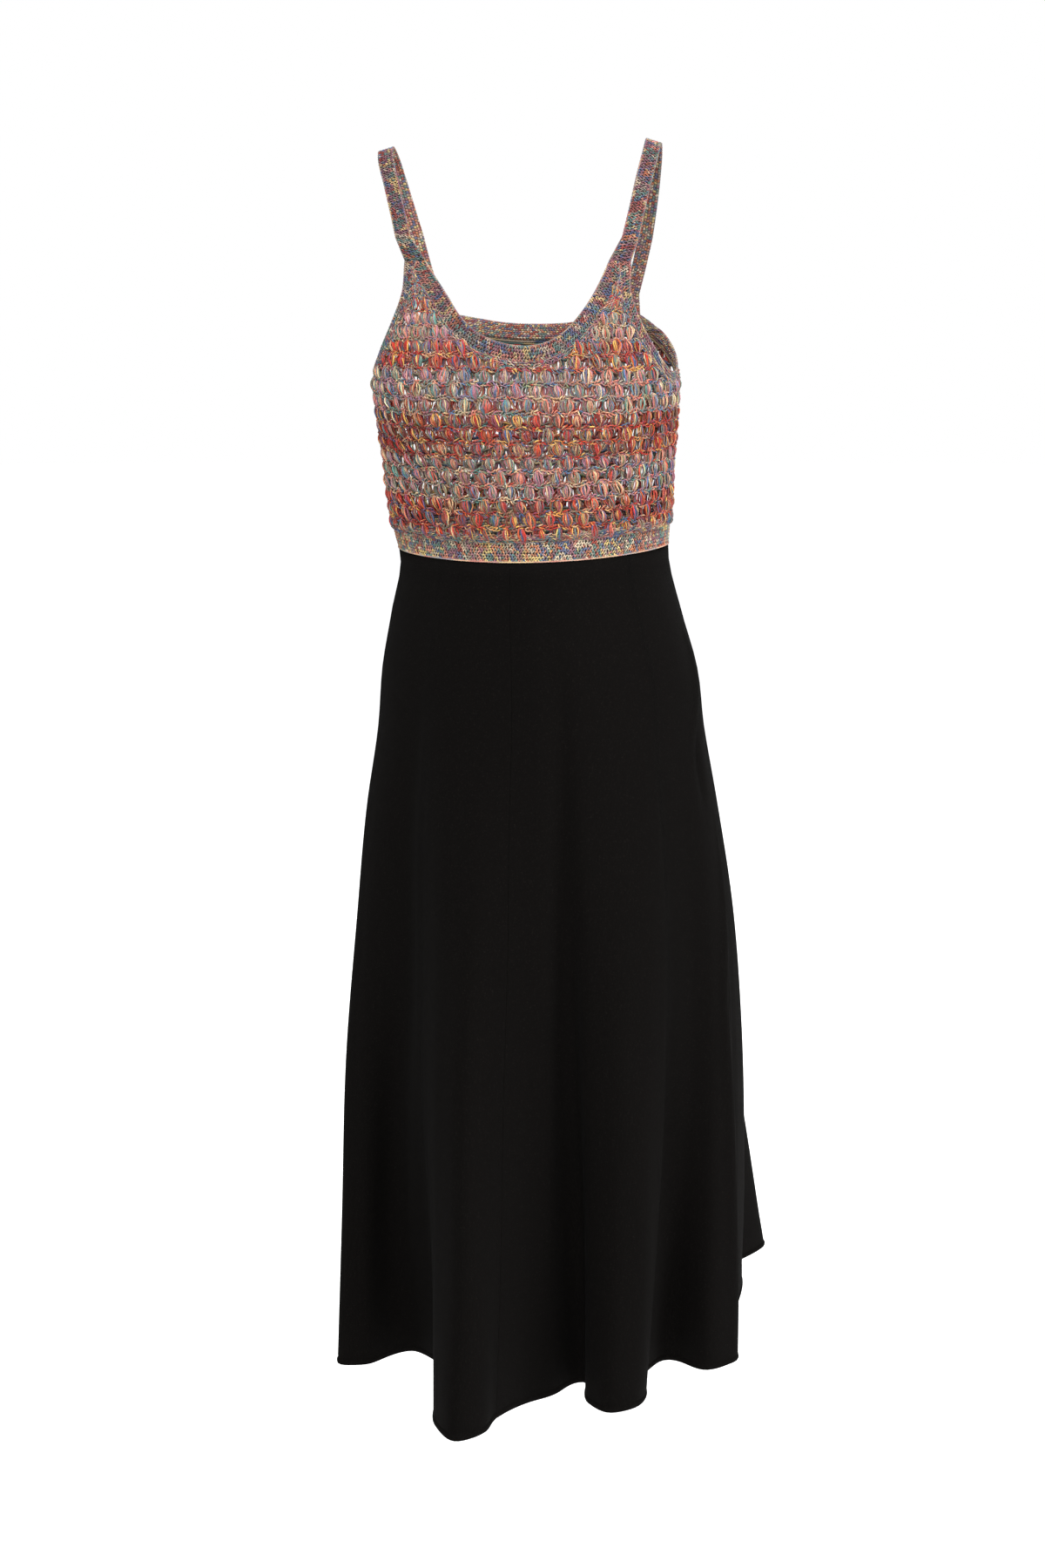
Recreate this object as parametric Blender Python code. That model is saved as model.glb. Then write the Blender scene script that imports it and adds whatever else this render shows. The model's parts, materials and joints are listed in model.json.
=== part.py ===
"""A worn knit dress: a crocheted puff-stitch bodice on two straps over a flared, plain knit skirt.

Metres, +Z up, the dress faces -Y. The origin lies midway between the undersides of the two straps,
where they cross the shoulders. The bodice is worked out on a body surface given by an angle round
the body (0 at centre front, 90 degrees at the +X side) and a height; every piece is a cloth wall on
that surface, raised along its normal, and the skirt leaves it below the hips in long folds.
"""

import math

import bmesh
import bpy
import numpy as np
from mathutils.geometry import delaunay_2d_cdt

COLLECTION = "knit_dress"

# Cloth
SEAM_GAP = 0.0003
PUFF_WALL = 0.0030
PUFF_RAISED = 0.0028
BAND_WALL = 0.0030
STRAP_WALL = 0.0030
SKIRT_WALL = 0.0018

# Crocheted bands and puff rows
NECK_BAND_WIDTH = 0.0160
ARMHOLE_BAND_WIDTH = 0.0100
WAISTBAND_HEIGHT = 0.0203
ROW_PITCH = 0.01285
COLUMN_PITCH = 0.0150
BAND_STATION = 0.0110
BAND_COLUMNS = 3
FLAT_RADIUS = 0.140
JOINT_STATIONS = 8
CURVE_POINTS = 160
TIP_STEPS = 2000

# Puff panels: shares of a row's pitch that inner points keep from the edges and seam ends
EDGE_CLEAR = 0.27
SEAM_END_CLEAR = 0.20
SAME_POINT = 1e-7
CREASE_ANGLE = math.radians(40.0)

# Waistline: its top at the sides, the dip at centre front, and how much one side hangs higher
WAIST_TOP = -0.3590
WAIST_DIP = 0.0072
WAIST_TILT = 0.0032
WAIST_FADE = 0.1400

# Soft cups of the bodice
CUP_ANGLE = math.radians(37.0)
CUP_SPREAD = math.radians(23.0)
CUP_LEVEL = -0.233
CUP_HEIGHT = 0.050
CUP_RAISED = 0.014
CUP_SIDEWAYS = 0.5

# The body under the cloth: height, half width, depth to the front and to the back, middle in x
BODY_RINGS = (
    # height, half_width, front, back, middle
    (-0.0600, 0.1360, 0.046, 0.070, 0.0000),
    (-0.1070, 0.1440, 0.070, 0.086, 0.0010),
    (-0.1500, 0.1470, 0.092, 0.097, 0.0012),
    (-0.1900, 0.1465, 0.107, 0.101, 0.0018),
    (-0.2350, 0.1445, 0.113, 0.099, 0.0035),
    (-0.3000, 0.1382, 0.104, 0.092, 0.0060),
    (-0.3610, 0.1335, 0.098, 0.087, 0.0088),
    (-0.3860, 0.1300, 0.098, 0.088, 0.0112),
    (-0.4450, 0.1415, 0.104, 0.098, 0.0135),
    (-0.5000, 0.1545, 0.111, 0.107, 0.0170),
    (-0.5600, 0.1605, 0.118, 0.114, 0.0185),
    (-0.6400, 0.1730, 0.128, 0.128, 0.0195),
    (-0.7600, 0.1875, 0.143, 0.158, 0.0235),
    (-0.9000, 0.1995, 0.154, 0.190, 0.0250),
    (-1.0800, 0.2070, 0.159, 0.220, 0.0285),
    (-1.2415, 0.2120, 0.160, 0.240, 0.0300),
)

# Front neckline from the strap joint down to its lowest point
NECKLINE = (
    # level, half_angle, middle_angle
    (-0.1070, 36.9, 0.35),
    (-0.1385, 27.5, 2.50),
    (-0.1570, 21.9, 2.70),
    (-0.1695, 16.8, 3.20),
    (-0.1760, 12.6, 3.80),
    (-0.1810, 7.4, 4.50),
    (-0.1830, 3.0, 4.90),
    (-0.1835, 0.0, 5.00),
)

# Armhole from the front strap joint, under the arm, up to the back's top corner
ARMHOLE = (
    # angle, level
    (47.8, -0.1070),
    (47.6, -0.1385),
    (51.2, -0.1570),
    (55.0, -0.1705),
    (60.5, -0.1850),
    (67.0, -0.1980),
    (77.0, -0.2095),
    (88.0, -0.2085),
    (98.0, -0.1990),
    (110.0, -0.1850),
    (122.0, -0.1715),
    (134.0, -0.1600),
)

# Top edge of the back, from the armhole's corner past the strap joint to centre back
BACK_NECKLINE = (
    # angle, level
    (134.0, -0.1600),
    (140.0, -0.1600),
    (146.0, -0.1605),
    (155.0, -0.1640),
    (167.0, -0.1690),
    (180.0, -0.1705),
)
BACK_JOINT_ANGLE = 145.0
BACK_SEAM_LEVEL = -0.1765

# Share of the front strap joint that the neck band takes; the armhole band takes the rest
JOINT_SPLIT = 0.42

# Share of the front strap joint that the neck band's rounded tip leaves free beside the strap
STRAP_FRONT_START = 0.28

# Straps between the joints. The middle line's height, y and distance from x = 0, the width, and how
# far the outer edge turns back in plan and slopes down over the shoulder, in degrees. At the top the
# +X strap stands SHOULDER_RISE higher than the path, the other lower, and both lean to the -X side.
SHOULDER_RISE = 0.0035
SHOULDER_LEAN = 0.0045
STRAP_COLUMNS = 3
STRAP_PATH = (
    # height, y, x, width, turn, slope
    (-0.0850, -0.0480, 0.1074, 0.0160, 21.0, 2.0),
    (-0.0600, -0.0350, 0.1136, 0.0150, 17.0, 5.0),
    (-0.0320, -0.0200, 0.1205, 0.0150, 12.0, 10.0),
    (-0.0100, -0.0060, 0.1265, 0.0150, 6.0, 15.0),
    (0.0000, 0.0110, 0.1285, 0.0150, 0.0, 17.0),
    (-0.0080, 0.0280, 0.1275, 0.0150, -6.0, 15.0),
    (-0.0320, 0.0430, 0.1235, 0.0150, -12.0, 10.0),
    (-0.0700, 0.0560, 0.1160, 0.0150, -18.0, 5.0),
    (-0.1100, 0.0660, 0.1070, 0.0150, -24.0, 2.0),
    (-0.1400, 0.0720, 0.0990, 0.0160, -28.0, 0.0),
)
STRAP_STATIONS = 26

# Skirt: it starts under the waistband, and its folds start at FOLD_TOP and deepen to the hem
SKIRT_TOP = WAIST_TOP - WAISTBAND_HEIGHT - SEAM_GAP
HEM_LEVEL = -1.2415
FOLD_TOP = -0.4700
FOLD_EASE = 1.5
SKIRT_LEVELS = (-0.4150, -0.4500, -0.4950, -0.5450, -0.6100, -0.6900, -0.7800, -0.8800, -0.9900, -1.1100)
HEM_TURN = math.radians(7.0)
BACK_RISE = 0.028
BACK_RISE_START = 0.030
BACK_RISE_RUN = 0.180

# The hem seen from above, in axes turned by HEM_TURN: across, to the front, and the angle round the
# hips that hangs there. Each row is the top, the bottom or the flank of a fold. The hem is level at
# the front and hangs BACK_RISE higher where it sweeps out behind.
HEM_FOLDS = (
    # across, front, hip_angle, panel that starts here
    (-0.0280, 0.1280, -5.0, "skirt_front_right"),
    (0.0020, 0.0930, 0.0, None),
    (0.0380, 0.0700, 5.0, None),
    (0.0630, 0.0480, 11.0, None),
    (0.0680, 0.0920, 20.0, None),
    (0.0870, 0.1140, 30.0, None),
    (0.1100, 0.1040, 39.0, None),
    (0.1215, 0.0780, 46.0, None),
    (0.1260, 0.0200, 52.0, None),
    (0.1500, -0.0030, 60.0, None),
    (0.1930, 0.0120, 72.0, None),
    (0.2240, -0.0180, 82.0, None),
    (0.2080, -0.0580, 90.0, "skirt_back"),
    (0.2290, -0.1050, 98.0, None),
    (0.2380, -0.1800, 109.0, None),
    (0.2270, -0.2040, 117.0, None),
    (0.2490, -0.2260, 125.0, None),
    (0.2744, -0.2700, 134.0, None),
    (0.2280, -0.2860, 143.0, None),
    (0.1700, -0.2290, 154.0, None),
    (0.1080, -0.2700, 166.0, None),
    (0.0450, -0.2130, 178.0, None),
    (-0.0350, -0.2630, 192.0, None),
    (-0.0880, -0.2100, 205.0, None),
    (-0.1560, -0.2280, 221.0, None),
    (-0.1830, -0.1720, 235.0, None),
    (-0.1500, -0.1080, 253.0, None),
    (-0.1820, -0.0400, 270.0, "skirt_front_left"),
    (-0.1905, -0.0020, 279.0, None),
    (-0.1650, 0.0000, 286.0, None),
    (-0.1120, -0.0340, 306.0, None),
    (-0.0900, -0.0100, 315.0, None),
    (-0.0838, 0.0800, 325.0, None),
    (-0.0850, 0.1450, 335.0, None),
    (-0.0660, 0.1780, 344.0, None),
    (-0.0420, 0.1580, 350.0, None),
)
HEM_COLUMN = 0.0215

# Finishes: colour, roughness
FINISHES = {
    "puff_yarn": ((0.36, 0.17, 0.14, 1.0), 0.85),
    "band_yarn": ((0.38, 0.29, 0.27, 1.0), 0.85),
    "skirt_knit": ((0.010, 0.009, 0.008, 1.0), 0.90),
}


def clear_scene():
    """Remove every object that the file opens with."""
    for thing in list(bpy.data.objects):
        bpy.data.objects.remove(thing, do_unlink=True)


def through(rows, at):
    """A smooth curve through table rows: the first column is the knot, the rest are its values."""
    table = np.array(sorted(rows), dtype=float)
    knots, values = table[:, 0], table[:, 1:]
    slopes = np.gradient(values, knots, axis=0)
    at = np.clip(np.asarray(at, dtype=float), knots[0], knots[-1])
    low = np.clip(np.searchsorted(knots, at, side="right") - 1, 0, len(knots) - 2)
    span = (knots[low + 1] - knots[low])[..., None]
    t = (at - knots[low])[..., None] / span
    return (
        (2 * t**3 - 3 * t**2 + 1) * values[low]
        + (t**3 - 2 * t**2 + t) * span * slopes[low]
        + (3 * t**2 - 2 * t**3) * values[low + 1]
        + (t**3 - t**2) * span * slopes[low + 1]
    )


def waist_shift(angle):
    """How far the waistline stands above its height at the sides, at an angle round the body."""
    return WAIST_TILT * np.sin(angle) - WAIST_DIP * np.maximum(np.cos(angle), 0.0) ** 2


def body(angle, level):
    """Points of the body surface at an angle and a level; a level near the waist dips with it."""
    angle, level = np.broadcast_arrays(np.asarray(angle, float), np.asarray(level, float))
    fade = np.clip(1.0 - np.abs(level - WAIST_TOP) / WAIST_FADE, 0.0, 1.0)
    half_width, front, back, middle = np.moveaxis(through(BODY_RINGS, level), -1, 0)
    bust = sum(np.exp(-(((angle - side * CUP_ANGLE) / CUP_SPREAD) ** 2)) for side in (-1, 1))
    cup = CUP_RAISED * bust * np.exp(-(((level - CUP_LEVEL) / CUP_HEIGHT) ** 2))
    depth = np.where(np.cos(angle) > 0.0, front, back)
    return np.stack(
        [
            middle + (half_width + CUP_SIDEWAYS * cup) * np.sin(angle),
            -(depth + cup) * np.cos(angle),
            level + fade * waist_shift(angle),
        ],
        axis=-1,
    )


def body_steps(angle, level, step=1e-4):
    """Derivatives of the body surface by angle and by level."""
    by_angle = (body(angle + step, level) - body(angle - step, level)) / (2 * step)
    by_level = (body(angle, level + step) - body(angle, level - step)) / (2 * step)
    return by_angle, by_level


def unit(vectors):
    """Vectors scaled to length 1."""
    return vectors / np.linalg.norm(vectors, axis=-1, keepdims=True)


def body_normal(angle, level):
    """Outward normals of the body surface."""
    return unit(np.cross(*body_steps(angle, level)))


def raised(angle, level, lift):
    """Body points moved out along the normal by lift."""
    return body(angle, level) + body_normal(angle, level) * np.asarray(lift)[..., None]


def offset(curve, width):
    """A curve of (angle, level) rows moved sideways on the body, to the right of its direction."""
    by_angle, by_level = body_steps(curve[:, 0], curve[:, 1])
    scale = np.stack([np.linalg.norm(by_angle, axis=-1), np.linalg.norm(by_level, axis=-1)], -1)
    along = unit(np.gradient(curve, axis=0) * scale)
    right = np.stack([along[:, 1], -along[:, 0]], axis=-1)
    return curve + right * width / scale


def resample(curve, count):
    """A curve of (angle, level) rows with count rows evenly spaced along the body."""
    points = body(curve[:, 0], curve[:, 1])
    run = np.concatenate([[0.0], np.cumsum(np.linalg.norm(np.diff(points, axis=0), axis=1))])
    at = np.linspace(0.0, run[-1], count)
    return np.stack([np.interp(at, run, curve[:, 0]), np.interp(at, run, curve[:, 1])], axis=-1)


def stationed(curve):
    """A curve with a row at about each band station."""
    return resample(curve, max(2, round(length(curve) / BAND_STATION) + 1))


def length(curve):
    """Length along the body of a curve of (angle, level) rows."""
    points = body(curve[:, 0], curve[:, 1])
    return float(np.linalg.norm(np.diff(points, axis=0), axis=1).sum())


def smooth_curve(rows, count=CURVE_POINTS):
    """A fine curve of (angle, level) rows, in radians, through table rows of (angle, level)."""
    points = np.array([(math.radians(angle), level) for angle, level in rows])
    chord = np.linalg.norm(np.diff(body(points[:, 0], points[:, 1]), axis=0), axis=1)
    knots = np.concatenate([[0.0], np.cumsum(chord)])
    table = np.column_stack([knots, points]).tolist()
    return resample(through(table, np.linspace(0.0, knots[-1], count)), count)


def neckline():
    """The front neckline from the joint on the -X side to the one on the +X side."""
    left = [(middle - half, level) for level, half, middle in NECKLINE]
    right = [(middle + half, level) for level, half, middle in reversed(NECKLINE[:-1])]
    return smooth_curve(left + right)


def back_neckline():
    """The back's top edge from its +X corner round to its -X corner."""
    left = [(360.0 - angle, level) for angle, level in reversed(BACK_NECKLINE[:-1])]
    return smooth_curve(list(BACK_NECKLINE) + left)


def armhole():
    """The +X armhole's edge from the front joint under the arm to the back's top corner."""
    return smooth_curve(ARMHOLE)


def on_side(curve, side):
    """A curve made for the +X side, or its mirror image on the -X side."""
    return curve * np.array([side, 1.0])


def below(curve, level):
    """The rows of a curve from where it first passes below a level, with that point added."""
    first = int(np.argmax(curve[:, 1] < level))
    before, after = curve[first - 1], curve[first]
    share = (before[1] - level) / (before[1] - after[1])
    return np.concatenate([[before + (after - before) * share], curve[first:]])


def tip_level(neck_seam, arm_seam, side):
    """The level below a front strap joint where the two bands' seams cross."""
    neck = neck_seam[: int(np.argmin(neck_seam[:, 1])) + 1]
    arm = arm_seam[: int(np.argmin(arm_seam[:, 1])) + 1]
    levels = np.linspace(min(neck[0, 1], arm[0, 1]), max(neck[-1, 1], arm[-1, 1]), TIP_STEPS)
    neck_angle = np.interp(-levels, -neck[:, 1], neck[:, 0])
    arm_angle = np.interp(-levels, -arm[:, 1], arm[:, 0])
    return levels[int(np.argmax(side * (arm_angle - neck_angle) > 0.0))]


def arm_seam_line(side, extra=0.0):
    """An armhole band's inner edge before its ends are cut, drawn in by extra."""
    return offset(on_side(armhole(), side), side * (ARMHOLE_BAND_WIDTH + extra))


def front_corner(side):
    """Seams of the neck and armhole bands from where they cross below one front strap joint.

    The neck seam ends at the neckline's lowest point, the armhole seam at the back neck band.
    """
    neck = neckline()
    middle = int(np.argmin(neck[:, 1]))
    half = neck[middle:][::-1] if side > 0 else neck[: middle + 1]
    neck_seam = offset(half, -side * NECK_BAND_WIDTH)
    arm_seam = arm_seam_line(side)
    level = tip_level(neck_seam, arm_seam, side)
    arm_seam = below(arm_seam[::-1], BACK_SEAM_LEVEL - SEAM_GAP)[::-1]
    return stationed(below(neck_seam, level)), stationed(below(arm_seam, level))


def panel_corner(side):
    """The puff panel's edges along front_corner's two seams, a seam gap away from them."""
    neck_seam, arm_seam = front_corner(side)
    neck_edge, arm_edge = offset(neck_seam, -side * SEAM_GAP), offset(arm_seam, side * SEAM_GAP)
    arm_edge[-1] = below(arm_seam_line(side, SEAM_GAP)[::-1], BACK_SEAM_LEVEL - SEAM_GAP)[0]
    level = tip_level(neck_edge, arm_edge, side)
    return below(neck_edge, level), below(arm_edge, level)


def joint_ends(side):
    """The neck side's and the arm side's end of a front strap joint, as (angle, level)."""
    neck = neckline()
    return neck[-1 if side > 0 else 0], on_side(armhole()[:1], side)[0]


def back_joint():
    """The +X back strap joint on the back band's edge, from the neck side to the arm side."""
    edge = resample(back_neckline(), len(back_band_seam()))
    angles = np.radians(np.linspace(BACK_JOINT_ANGLE, BACK_NECKLINE[0][0], STRAP_COLUMNS))
    return np.stack([angles, np.interp(angles, edge[:, 0], edge[:, 1])], axis=-1)


def neck_band_seam():
    """The front neck band's outer edge, from the -X joint down and up to the +X joint."""
    halves = []
    for side in (-1, 1):
        neck_end, arm_end = joint_ends(side)
        split = neck_end + (arm_end - neck_end) * JOINT_SPLIT
        seam, _ = front_corner(side)
        halves.append(np.concatenate([straight(split, seam[0], JOINT_STATIONS)[:-1], seam]))
    return np.concatenate([halves[0], halves[1][::-1][1:]])


def armhole_band_seam(side):
    """An armhole band's inner edge, from the front joint round to the back neck band."""
    neck_end, arm_end = joint_ends(side)
    split = neck_end + (arm_end - neck_end) * JOINT_SPLIT
    _, seam = front_corner(side)
    upper = round_body(straight(split, seam[0], JOINT_STATIONS), side * SEAM_GAP)
    return np.concatenate([upper, seam[1:]])


def back_band_seam():
    """The back neck band's lower edge, from armhole to armhole."""
    lower = offset(back_neckline(), NECK_BAND_WIDTH)
    corner = below(armhole()[::-1], BACK_SEAM_LEVEL)[0]
    turned = np.array([2 * math.pi - corner[0], corner[1]])
    return stationed(np.concatenate([[corner], lower, [turned]]))


def straight(start, end, count):
    """A straight run of (angle, level) rows."""
    return np.linspace(start, end, count)


def round_body(curve, distance):
    """A curve of (angle, level) rows moved round the body by a distance."""
    by_angle, _ = body_steps(curve[:, 0], curve[:, 1])
    return curve + np.stack([distance / np.linalg.norm(by_angle, axis=-1), np.zeros(len(curve))], -1)


def add_object(name, mesh, finish):
    """Put a mesh into the dress's collection with a material of its own."""
    colour, roughness = FINISHES[finish]
    material = bpy.data.materials.new(f"{name}_{finish}")
    material.use_nodes = True
    shader = material.node_tree.nodes["Principled BSDF"]
    shader.inputs["Base Color"].default_value = colour
    shader.inputs["Roughness"].default_value = roughness
    shader.inputs["Metallic"].default_value = 0.0
    mesh.materials.append(material)
    thing = bpy.data.objects.new(name, mesh)
    bpy.data.collections[COLLECTION].objects.link(thing)
    return thing


def wall_from_faces(name, outer, inner, faces, finish):
    """A closed wall: outer faces, the same faces on the inner points turned round, and its rim."""
    count = len(outer)
    edges = {}
    for face in faces:
        for a, b in zip(face, face[1:] + face[:1]):
            edges[(a, b)] = edges.get((a, b), 0) + 1
    rim = [(a, b) for (a, b) in edges if (b, a) not in edges]
    every = list(faces)
    every += [tuple(count + v for v in reversed(face)) for face in faces]
    every += [(b, a, count + a, count + b) for a, b in rim]
    mesh = bpy.data.meshes.new(name)
    mesh.from_pydata(np.concatenate([outer, inner]).tolist(), [], every)
    mesh.validate()
    tidy = bmesh.new()
    tidy.from_mesh(mesh)
    bmesh.ops.recalc_face_normals(tidy, faces=tidy.faces)
    bmesh.ops.triangulate(tidy, faces=tidy.faces)
    tidy.to_mesh(mesh)
    tidy.free()
    mesh.shade_smooth()
    mesh.set_sharp_from_angle(angle=CREASE_ANGLE)
    return add_object(name, mesh, finish)


def wall(name, outer, inner, finish):
    """A closed cloth wall between two grids of points with the same rows and columns."""
    rows, columns = outer.shape[:2]
    number = np.arange(rows * columns).reshape(rows, columns)
    corners = np.stack([number[:-1, :-1], number[:-1, 1:], number[1:, 1:], number[1:, :-1]], axis=-1)
    faces = [tuple(face) for face in corners.reshape(-1, 4).tolist()]
    return wall_from_faces(name, outer.reshape(-1, 3), inner.reshape(-1, 3), faces, finish)


def band(name, edge, seam):
    """A crocheted band ruled between its free edge and its seam, both curves on the body."""
    edge = resample(edge, len(seam))
    mix = np.linspace(0.0, 1.0, BAND_COLUMNS)[None, :, None]
    grid = edge[:, None, :] * (1.0 - mix) + seam[:, None, :] * mix
    outer = raised(grid[..., 0], grid[..., 1], np.full(grid.shape[:2], BAND_WALL))
    wall(name, outer, body(grid[..., 0], grid[..., 1]), "band_yarn")


def puff_lift(level):
    """Thickness of the puff wall: a ridge along each row of puffs, thin between the rows."""
    row = (level - WAIST_TOP) / ROW_PITCH
    return PUFF_WALL + PUFF_RAISED * (1.0 - np.abs(2.0 * (row - np.floor(row)) - 1.0))


def puff_panel(name, sides, edges):
    """A crocheted panel ridged along its rows of puffs.

    The outline is the list edges, each a curve of (angle, level) rows with whether the ridges run out
    over it, as they do at a side seam. sides are the angles of the two side seams.
    """
    flat = np.array([FLAT_RADIUS, 1.0])
    outline = np.concatenate([curve[:-1] for curve, _ in edges])
    ridged = np.concatenate([np.full(len(curve) - 1, runs_out) for curve, runs_out in edges])
    columns = round((sides[1] - sides[0]) * FLAT_RADIUS / COLUMN_PITCH)
    angles = np.linspace(*sides, columns + 1)[1:-1]
    levels = np.arange(WAIST_TOP + ROW_PITCH / 2, outline[:, 1].max(), ROW_PITCH / 2)
    grid = np.stack(np.meshgrid(angles, levels), axis=-1).reshape(-1, 2) * flat
    grid = grid[clear_inside(grid, outline * flat, ROW_PITCH * EDGE_CLEAR)]
    points = np.concatenate([outline * flat, grid])
    rim = [(i, (i + 1) % len(outline)) for i in range(len(outline))]
    places, _, faces, came_from, _, _ = delaunay_2d_cdt(
        [tuple(point) for point in points.tolist()], rim, [[a for a, _ in rim]], 1, SAME_POINT
    )
    places = np.array([tuple(place) for place in places]) / flat
    plain = [any(v < len(outline) and not ridged[v] for v in came) for came in came_from]
    lift = np.where(plain, PUFF_WALL, puff_lift(places[:, 1]))
    outer = raised(places[:, 0], places[:, 1], lift)
    inner = body(places[:, 0], places[:, 1])
    return wall_from_faces(name, outer, inner, [tuple(face) for face in faces], "puff_yarn")


def clear_inside(points, border, margin):
    """Which points lie inside a closed border and at least a margin from it."""
    start, end = border, np.roll(border, -1, axis=0)
    run = end - start
    from_start = points[:, None, :] - start[None]
    along = np.clip((from_start * run).sum(-1) / (run * run).sum(-1), 0.0, 1.0)
    far = np.linalg.norm(from_start - along[..., None] * run, axis=-1).min(axis=1) > margin
    spans = (start[None, :, 1] > points[:, None, 1]) != (end[None, :, 1] > points[:, None, 1])
    rise = np.where(run[:, 1] == 0.0, 1.0, run[:, 1])
    cross = start[None, :, 0] + (points[:, None, 1] - start[None, :, 1]) * (run[:, 0] / rise)[None]
    return far & ((spans & (points[:, None, 0] < cross)).sum(axis=1) % 2 == 1)


def side_seam(angle, start, end):
    """A side seam of a puff panel: rows of (angle, level) at each half row between two levels."""
    half = ROW_PITCH / 2
    low, high = min(start, end), max(start, end)
    clear = ROW_PITCH * SEAM_END_CLEAR
    levels = np.arange(WAIST_TOP + half, high, half)
    levels = levels[(levels > low + clear) & (levels < high - clear)]
    levels = np.concatenate([[low], levels, [high]])
    levels = levels if end > start else levels[::-1]
    return np.stack([np.full(len(levels), angle), levels], axis=-1)


def cut_at(curve, angle):
    """The rows of a curve up to where it passes an angle, with that point added."""
    past = np.abs(curve[:, 0]) > abs(angle)
    first = int(np.argmax(past))
    before, after = curve[first - 1], curve[first]
    share = (angle - before[0]) / (after[0] - before[0])
    return np.concatenate([curve[:first], [before + (after - before) * share]]), first


def make_bodice_front():
    """The front puff panel, from the waistband up to the two tips between the bands."""
    gap = SEAM_GAP / 2 / FLAT_RADIUS
    corners = {side: panel_corner(side) for side in (-1, 1)}
    edge_angle = math.pi / 2 - gap
    arms = {side: cut_at(corners[side][1], side * edge_angle)[0] for side in (-1, 1)}
    foot = WAIST_TOP + SEAM_GAP
    bottom = straight((-edge_angle, foot), (edge_angle, foot), round(math.pi * FLAT_RADIUS / COLUMN_PITCH))
    edges = [(bottom, False), (side_seam(edge_angle, foot, arms[1][-1, 1]), True)]
    edges.append((arms[1][::-1], False))
    edges.append((corners[1][0], False))
    edges.append((corners[-1][0][::-1], False))
    edges.append((arms[-1], False))
    edges.append((side_seam(-edge_angle, arms[-1][-1, 1], foot), True))
    puff_panel("bodice_front", (-edge_angle, edge_angle), edges)


def make_bodice_back():
    """The back puff panel, from the waistband up to the back neck band."""
    gap = SEAM_GAP / 2 / FLAT_RADIUS
    start, end = math.pi / 2 + gap, 3 * math.pi / 2 - gap
    foot = WAIST_TOP + SEAM_GAP
    arms = {}
    for side in (-1, 1):
        _, seam = panel_corner(side)
        front, kept = cut_at(seam, side * start)
        arms[side] = np.concatenate([front[-1:], seam[kept:]])
    arms[-1][:, 0] += 2 * math.pi
    top = offset(back_band_seam(), SEAM_GAP)
    top = top[(top[:, 0] > arms[1][-1, 0] + gap) & (top[:, 0] < arms[-1][-1, 0] - gap)]
    top = np.concatenate([arms[1][-1:], top, arms[-1][-1:]])
    bottom = straight((start, foot), (end, foot), round(math.pi * FLAT_RADIUS / COLUMN_PITCH))
    edges = [(bottom, False), (side_seam(end, foot, arms[-1][0, 1]), True)]
    edges.append((arms[-1], False))
    edges.append((top[::-1], False))
    edges.append((arms[1][::-1], False))
    edges.append((side_seam(start, arms[1][0, 1], foot), True))
    puff_panel("bodice_back", (start, end), edges)


def make_bands():
    """The two neck bands, the two armhole bands and the two halves of the waistband."""
    band("neck_band_front", neckline(), neck_band_seam())
    band("neck_band_back", back_neckline(), back_band_seam())
    for side, name in ((-1, "left"), (1, "right")):
        edge = below(on_side(armhole(), side)[::-1], BACK_SEAM_LEVEL - SEAM_GAP)[::-1]
        band(f"armhole_band_{name}", edge, armhole_band_seam(side))
    gap = SEAM_GAP / 2 / FLAT_RADIUS
    for name, middle in (("front", 0.0), ("back", math.pi)):
        ends = (middle - math.pi / 2 + gap, middle + math.pi / 2 - gap)
        low, high = WAIST_TOP - WAISTBAND_HEIGHT, WAIST_TOP
        lower, upper = (
            straight((ends[0], level), (ends[1], level), CURVE_POINTS) for level in (low, high)
        )
        band(f"waistband_{name}", upper, stationed(lower))


def make_strap(side, name):
    """One shoulder strap, ruled across from joint to joint: its middle line is a smooth path."""
    rows = np.array(STRAP_PATH)
    run = np.concatenate([[0.0], np.cumsum(np.linalg.norm(np.diff(rows[:, :3], axis=0), axis=1))])
    at = np.linspace(0.0, run[-1], STRAP_STATIONS)
    height, y, x, width, turn, slope = through(np.column_stack([run, rows]).tolist(), at).T
    turn, slope = np.radians(turn), np.radians(slope)
    fade = np.clip(1.0 - height / STRAP_PATH[0][0], 0.0, 1.0)
    middle = np.stack([side * x - fade * SHOULDER_LEAN, y, height + fade * side * SHOULDER_RISE], axis=-1)
    across = np.stack([side * np.cos(turn) * np.cos(slope), np.sin(turn), -np.sin(slope)], axis=-1)
    tangent = unit(np.gradient(middle, axis=0))
    normal = unit(np.cross(across, tangent)) * side
    offsets = np.linspace(-0.5, 0.5, STRAP_COLUMNS)[None, :, None] * width[:, None, None]
    inner = middle[:, None] + offsets * across[:, None]
    outer = inner + normal[:, None] * STRAP_WALL
    neck_end, arm_end = joint_ends(side)
    inner_end = neck_end + (arm_end - neck_end) * STRAP_FRONT_START
    front = straight(inner_end, arm_end, STRAP_COLUMNS) + np.array([0.0, SEAM_GAP])
    back = back_joint() * np.array([side, 1.0]) + np.array([0.0, SEAM_GAP])
    inner = np.concatenate([[body(*front.T)], inner, [body(*back.T)]])
    outer = np.concatenate([[raised(*front.T, np.full(STRAP_COLUMNS, STRAP_WALL))], outer,
                            [raised(*back.T, np.full(STRAP_COLUMNS, STRAP_WALL))]])
    wall(f"strap_{name}", outer, inner, "band_yarn")


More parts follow.
